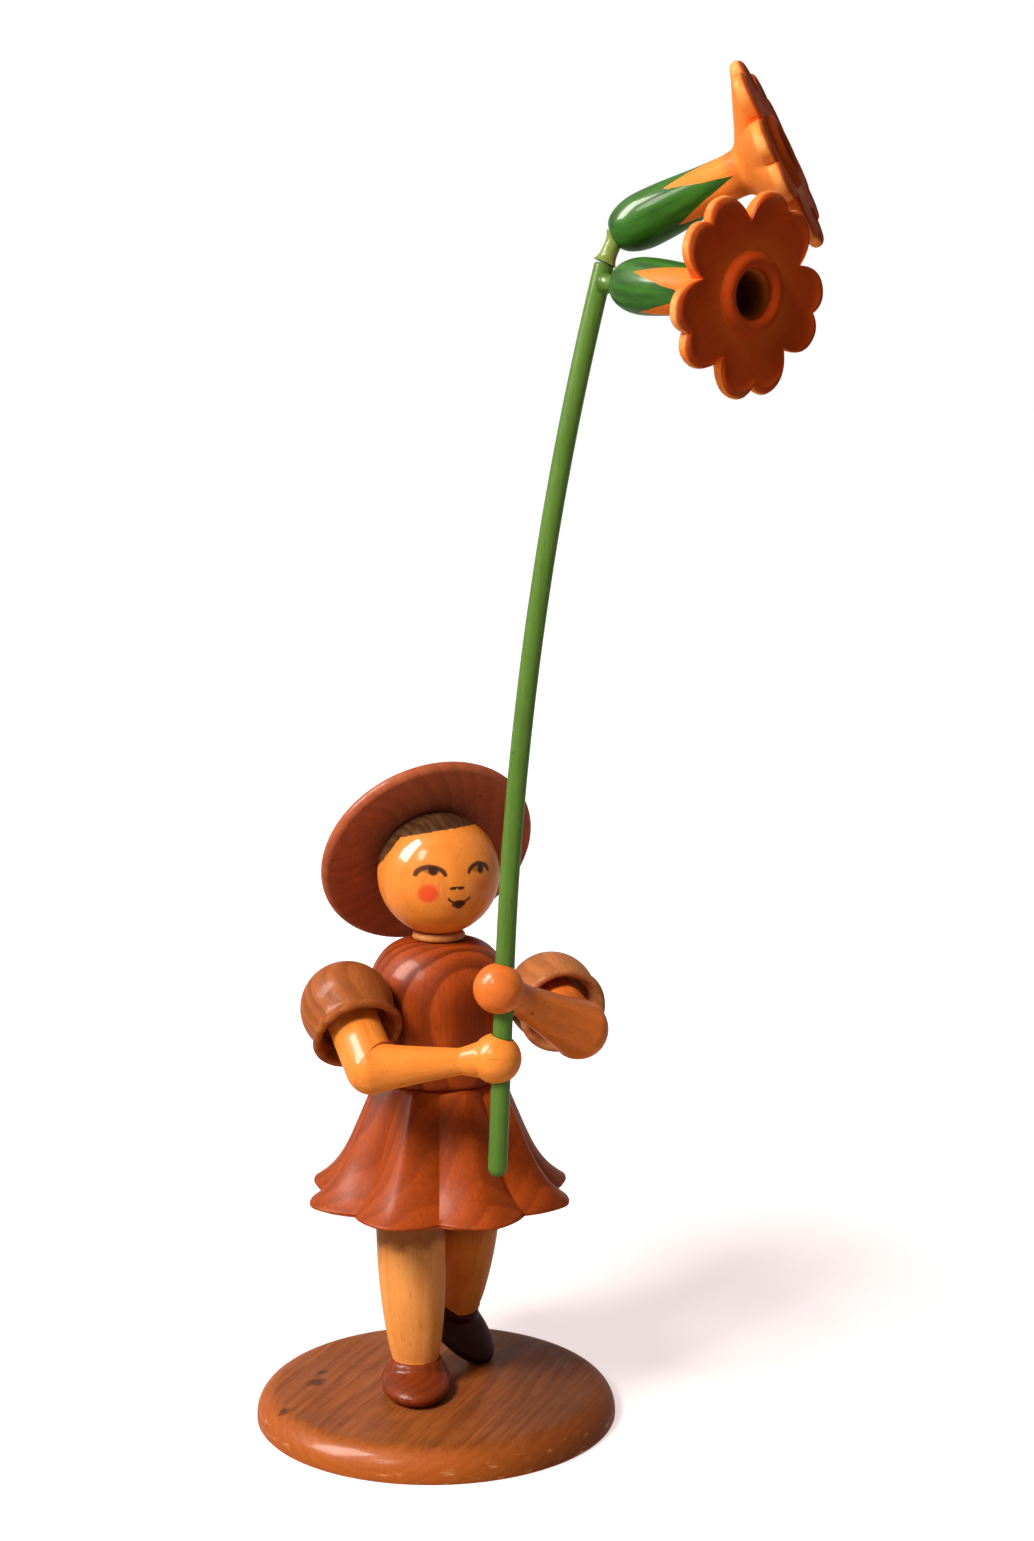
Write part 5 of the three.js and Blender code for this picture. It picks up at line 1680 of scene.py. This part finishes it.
@dataclass
class Crown(SubAssembly):
    """The painted head and the sun hat on the back of it."""

    levels: Levels
    tilt: float = 30.0
    brim: float = 10.85
    brim_middle: Pair = (8.3, 0.55)
    thickness: float = 1.3
    setback: float = 2.75
    dish: float = 1.3
    crown_radius: float = 6.0
    crown_height: float = 4.6
    crown_foot: Pair = (0.25, 0.12)
    sides: int = 128
    bore_sides: int = 112

    def build(self) -> None:
        """Builds the head and the hat."""
        radius, drop = self.levels.head_radius, self.levels.head_drop
        centre = Matrix.Translation(self.levels.head_centre)
        low = math.degrees(math.asin(-drop / radius))
        ball = bow(AXIS, radius, (low, 88), 60)
        head = self.bench.turned("head", [(0.0, -drop), *ball, (0.0, radius)], centre, self.sides)
        self.bench.settle(head, "head", Body.HEAD, Slot.SKIN, HEAD, centre)
        self._hat(centre)

    def _hat(self, centre: Matrix) -> None:
        """Turns the hat and cuts the head's ball out of it.

        Args:
            centre: The frame of the head's ball.
        """
        rim = self.thickness / 2
        wide = self.brim - rim
        seat = self.setback + self.dish + self.thickness
        middle, share = self.brim_middle
        beside, above = self.crown_foot
        dish = [(wide * out, self.setback + self.dish * (1 - out**2)) for out in shares(20)[:-1]]
        edge = bow((wide, self.setback + rim), rim, (-80, 90), 16)
        over = (middle, lerp(edge[-1][1], seat, share))
        slope = flowing([edge[-1], over, (self.crown_radius + beside, seat + above)])[1:]
        dome = arc((0.0, seat), (self.crown_radius, self.crown_height), (10, 88), 26)
        profile = [*dish, *edge, *slope, *dome, (0.0, seat + self.crown_height)]
        frame = frame_along(self.levels.head_centre, direction(90, self.tilt))
        hat = self.bench.turned("hat", profile, frame, self.sides)
        radius = self.levels.head_radius + self.levels.glue / 2
        ball = [(0.0, -radius), *bow(AXIS, radius, (-87, 87), 58), (0.0, radius)]
        self.bench.combine(hat, self.bench.turned("ball", ball, centre, self.bore_sides), Joinery.CUT)
        self.bench.settle(hat, "hat", Body.HEAD, Slot.HAT, HAT, frame)


@dataclass
class BlossomPlan:
    """Where one blossom grows from the stem, which way it faces and its finishes."""

    level: str
    drop: float
    way: Vector
    peg_way: Vector
    peg_start: float
    peg_length: float
    spin: float
    finish: BlossomPaint
    peg_finish: GreenPaint


@dataclass
class Flower(SubAssembly):
    """The bent stem, the two pegs and the two trumpet blossoms."""

    stem: StemLine
    stem_edge: float = 0.12
    stem_end: Pair = (12.0, 90.0)
    stem_end_share: float = 1.4
    length: float = 16.65
    calyx: float = 2.5
    calyx_at: float = 3.4
    blunt: float = 0.8
    tube: float = 2.0
    tube_length: float = 11.8
    flare_root: float = 2.5
    flare_root_at: float = 13.0
    flare: float = PETAL_REACH
    flare_midway: float = 0.58
    petal_edge: float = 1.3
    face_rim: Pair = (1.4, 0.14)
    face_dish: float = 0.25
    face_midway: float = 0.7
    bead: float = 2.75
    bead_height: float = 0.7
    bead_foot: float = 0.1
    throat: float = 2.0
    throat_middle: Pair = (1.75, 1.4)
    throat_end: float = 1.5
    throat_depth: float = 4.2
    throat_point: float = 0.2
    petals: int = 5
    petal_sides: int = 32
    gap_depth: float = 2.9
    gap_spread: float = 0.9
    notch_depth: float = 1.0
    notch_spread: float = 0.5
    upper_way: Pair = (-39.0, 24.5)
    lower_way: Pair = (-74.0, -5.5)
    upper_peg_rise: float = 66.0
    peg_radius: float = 0.75
    peg_swell: float = 0.32
    peg_swell_power: int = 3
    peg_gap: float = 0.1
    peg_sunk: float = 0.25
    peg_meets: float = 0.45

    def plans(self) -> tuple[BlossomPlan, BlossomPlan]:
        """Returns the plans of the upper and the lower blossom."""
        high, low = direction(*self.upper_way), direction(*self.lower_way)
        up = direction(self.stem.lean_azimuth, self.upper_peg_rise)
        beside = self.stem.radius - self.peg_sunk
        return (
            BlossomPlan("upper", 0.0, high, up, self.peg_gap, 2.9, 10.0, UPPER_BLOSSOM, UPPER_PEG),
            BlossomPlan("lower", 1.7, low, low, beside, 3.0, 60.0, LOWER_BLOSSOM, LOWER_PEG),
        )

    def build(self) -> None:
        """Builds the stem, then each peg and blossom on it."""
        self._stem()
        for plan in self.plans():
            seat = self.stem.point(self.stem.length - plan.drop)
            meets = seat + plan.peg_way * plan.peg_length
            frame = frame_along(meets - plan.way * self.peg_meets, plan.way, plan.spin)
            self._peg(plan, seat)
            self._blossom(plan, frame)

    def _stem(self) -> None:
        """Sweeps the stem along its course, with a rounded lower end."""
        radius, length = self.stem.radius, self.stem.length
        first, last = radius * self.stem_end_share, length - self.stem_edge
        turns = [math.radians(lerp(*self.stem_end, share)) for share in shares(8)]
        end = [(radius * (1 - math.cos(a)), radius * math.sin(a)) for a in turns]
        course = [(lerp(first, last, share), radius) for share in shares(90)]
        rows = [*end, *course, (length, radius - self.stem_edge)]
        points = [self.stem.point(distance) for distance, _ in rows]
        stem = self.bench.swept("stem", points, [thick for _, thick in rows], STEM)
        frame = frame_along(self.stem.foot, self.stem.tangent(0.0))
        self.bench.settle(stem, "flower_stem", Body.FLOWER, Slot.STEM, STEM, frame)

    def _peg(self, plan: BlossomPlan, seat: Vector) -> None:
        """Sweeps a peg from the stem to the calyx, swollen by glue and paint at both ends.

        Args:
            plan: The blossom's plan.
            seat: The point of the stem's middle that the peg starts from.
        """
        end = plan.peg_length - self.peg_gap
        points = [seat + plan.peg_way * lerp(plan.peg_start, end, share) for share in shares(16)]
        ends = [abs(2 * share - 1) ** self.peg_swell_power for share in shares(16)]
        radii = [self.peg_radius + self.peg_swell * share for share in ends]
        peg = self.bench.swept("peg", points, radii, plan.peg_finish)
        frame = frame_along(seat, plan.peg_way)
        self.bench.settle(peg, f"{plan.level}_flower_peg", Body.FLOWER, Slot.PEG, plan.peg_finish, frame)

    def _profile(self) -> Profile:
        """Returns a blossom's outline from the calyx's blunt end round the petals to the throat."""
        edge, foot = self.length - self.petal_edge, self.length - self.face_dish
        half, floor = self.petal_edge / 2, foot - self.throat_depth
        egg = arc((self.blunt, self.calyx_at), (self.calyx - self.blunt, self.calyx_at), (-90, 0), 20)
        neck = []
        for share in shares(16)[1:]:
            narrowed = (1 - math.cos(math.pi * share)) / 2
            neck.append((lerp(self.calyx, self.tube, narrowed), lerp(self.calyx_at, self.tube_length, share)))
        root = (self.flare_root, self.flare_root_at)
        middle = (lerp(self.flare_root, self.flare, 0.5), lerp(self.flare_root_at, edge, self.flare_midway))
        back = flowing([neck[-1], root, middle, (self.flare - half, edge)], 10)[1:-1]
        lip = bow((self.flare - half, self.length - half), half, (-80, 95), 14)
        inset, drop = self.face_rim
        rim = (self.flare - inset, self.length - drop)
        face_middle = (lerp(self.bead, self.flare, 0.5), self.length - self.face_midway * self.face_dish)
        beside_bead = (self.bead + self.bead_height + self.bead_foot, foot)
        face = flowing([lip[-1], rim, face_middle, beside_bead], 8)[1:]
        bead = bow((self.bead, foot), self.bead_height, (10, 170), 12)
        wide, deep = self.throat_middle
        mouth = (self.throat, foot - self.bead_foot)
        throat = flowing([mouth, (wide, foot - deep), (self.throat_end, floor)], 5)
        tip = (0.0, floor - self.throat_point)
        return [(0.0, 0.0), *egg, *neck, *back, *lip, *face, *bead, *throat, tip]

    def _blossom(self, plan: BlossomPlan, frame: Matrix) -> None:
        """Turns a blossom and cuts its petals by the rule.

        Args:
            plan: The blossom's plan.
            frame: The blossom's frame, at the calyx's blunt end.
        """
        blossom = self.bench.turned("blossom", self._profile(), steps=self.petals * self.petal_sides)
        self.bench.follow(blossom, self.bench.rules.petals, plan.finish, {
            "Count": float(self.petals),
            "Root": self.bead + self.bead_height,
            "Reach": self.flare,
            "Gap Depth": self.gap_depth,
            "Gap Spread": self.gap_spread,
            "Notch Depth": self.notch_depth,
            "Notch Spread": self.notch_spread,
        })
        blossom.data.transform(frame)
        self.bench.settle(blossom, f"{plan.level}_blossom", Body.FLOWER, Slot.BLOSSOM, plan.finish, frame)


@dataclass(frozen=True)
class Lamp:
    """One oblong studio lamp, aimed at the figure."""

    name: str
    azimuth: float
    rise: float
    distance: float
    size: Pair
    power: float
    colour: Colour
    only_gloss: bool = False


@dataclass
class Studio:
    """The pale floor, the lamps, the world and the camera."""

    aim: Triple = (0.0, 0.0, 62.0)
    lamps: tuple[Lamp, ...] = (
        Lamp("window", 208.0, 41.0, 0.7, (0.16, 0.22), 6.2, (255, 249, 240)),
        Lamp("panes", 169.0, 41.0, 0.7, (0.28, 0.48), 50.0, (255, 250, 242), only_gloss=True),
        Lamp("room", 150.0, 30.0, 0.9, (0.5, 0.5), 1.8, (255, 246, 236)),
    )
    world_light: float = 0.12
    white: Colour = (255, 255, 255)
    floor_radius: float = 6.0
    floor_fade: Pair = (0.06, 0.13)
    floor_grain: float = 60.0
    floor_tones: tuple[Colour, Colour] = ((192, 189, 192), (198, 195, 198))
    floor_glow: float = 0.72
    floor_shine: Colour = (255, 238, 236)
    camera_at: Triple = (-88.41, -218.82, 96.3)
    side_azimuth: float = -22.0
    pitch: float = 7.64
    focal_pixels: float = 2464.0
    picture: tuple[int, int] = (1034, 1541)
    aside_pixels: float = -84.0
    sensor: float = 36.0
    clip: Pair = (0.01, 50.0)

    def build(self) -> None:
        """Sets up the whole studio."""
        bpy.context.scene.view_settings.view_transform = "Standard"
        self._world()
        self._floor()
        for lamp in self.lamps:
            self._lamp(lamp)
        self._camera()

    def _seen(self, w: Wiring) -> Socket:
        """Returns the mask of rays that see the background: camera, glossy and transmission rays."""
        path = w.add("ShaderNodeLightPath").outputs
        return w.either(path["Is Camera Ray"], path["Is Glossy Ray"], path["Is Transmission Ray"])

    def _world(self) -> None:
        """Makes a white world for the eye and a soft one for light."""
        world = bpy.data.worlds.new("studio")
        bpy.context.scene.world = world
        w = Wiring.fresh(world)
        strength = w.math("MULTIPLY_ADD", self._seen(w), 1.0 - self.world_light, self.world_light)
        background = w.add("ShaderNodeBackground", {"Color": tone(self.white), "Strength": strength})
        w.add("ShaderNodeOutputWorld", {"Surface": background.outputs[0]})

    def _floor(self) -> None:
        """Lays a pale floor that keeps the figure's shadow and turns white away from it."""
        mesh = bpy.data.meshes.new("floor")
        reach = self.floor_radius
        corners = [(-reach, -reach, 0), (reach, -reach, 0), (reach, reach, 0), (-reach, reach, 0)]
        mesh.from_pydata(corners, [], [(0, 1, 2, 3)])
        floor = stand("floor", mesh)
        material = bpy.data.materials.new("pale floor")
        w = Wiring.fresh(material)
        point = w.add("ShaderNodeTexCoord").outputs["Object"]
        far = w.ramp(w.vector("LENGTH", point), *self.floor_fade)
        grain = w.ramp(w.noise(point, self.floor_grain), 0.2, 0.8)
        matt = w.add("ShaderNodeBsdfDiffuse", {"Color": w.blend(grain, *map(tone, self.floor_tones))})
        faded = w.math("MULTIPLY_ADD", far, 1.0 - self.floor_glow, self.floor_glow)
        shine = w.blend(far, tone(self.floor_shine), tone(self.white))
        glow = w.add("ShaderNodeEmission", {"Color": shine, "Strength": w.times(self._seen(w), faded)})
        both = w.add("ShaderNodeAddShader", {0: matt.outputs[0], 1: glow.outputs[0]})
        w.add("ShaderNodeOutputMaterial", {"Surface": both.outputs[0]})
        mesh.materials.append(material)

    def _lamp(self, lamp: Lamp) -> None:
        """Hangs one oblong lamp that faces the figure.

        Args:
            lamp: The lamp.
        """
        light = bpy.data.lights.new(lamp.name, "AREA")
        light.shape = "RECTANGLE"
        light.size, light.size_y = lamp.size
        light.energy = lamp.power
        light.color = tone(lamp.colour)[:3]
        obj = stand(lamp.name, light)
        out = direction(lamp.azimuth, lamp.rise)
        facing = out.to_track_quat("Z", "Y").to_matrix().to_4x4()
        obj.matrix_world = Matrix.Translation(Vector(self.aim) * MM + out * lamp.distance) @ facing
        obj.visible_diffuse = not lamp.only_gloss

    def _camera(self) -> None:
        """Sets the camera at the photograph's viewing angle."""
        right_level = direction(self.side_azimuth, 0)
        yaw = math.atan(self.aside_pixels / self.focal_pixels)
        level = UP.cross(right_level) * math.cos(yaw) - right_level * math.sin(yaw)
        right = level.cross(UP)
        pitch = math.radians(self.pitch)
        ahead = level * math.cos(pitch) - UP * math.sin(pitch)
        camera = bpy.data.cameras.new("camera")
        camera.sensor_width = self.sensor
        camera.lens = self.sensor * self.focal_pixels / max(self.picture)
        camera.clip_start, camera.clip_end = self.clip
        obj = stand("camera", camera)
        turn = Matrix((right, right.cross(ahead), -ahead)).transposed().to_4x4()
        obj.matrix_world = Matrix.Translation(Vector(self.camera_at) * MM) @ turn
        bpy.context.scene.camera = obj


def dress_dowels(frame: dict, effects: Effects) -> None:
    """Gives the dowels inside the figure, which stay as they are, a plain wood finish.

    Args:
        frame: The loaded frame.
        effects: The shared shader groups.
    """
    material = DOWEL.material(effects)
    for name, obj in frame["nodes"].items():
        if name.endswith("_dowel"):
            obj.data.materials.clear()
            obj.data.materials.append(material)
            LOG.info("%s: kept, plain wood", name)


def main() -> None:
    """Builds every sub-assembly in order."""
    logging.basicConfig(level=logging.INFO, format="%(message)s")
    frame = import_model()
    bench = Workbench()
    levels = Levels()
    stem = StemLine(levels)
    dress = Dress(bench, levels)
    parts = (
        BaseDisc(bench),
        Walk(bench, levels),
        dress,
        Arms(bench, levels, stem, dress),
        Crown(bench, levels),
        Flower(bench, stem),
    )
    Studio().build()
    for part in parts:
        LOG.info("building %s", type(part).__name__)
        part.build()
    dress_dowels(frame, bench.effects)


if __name__ == "__main__":
    main()
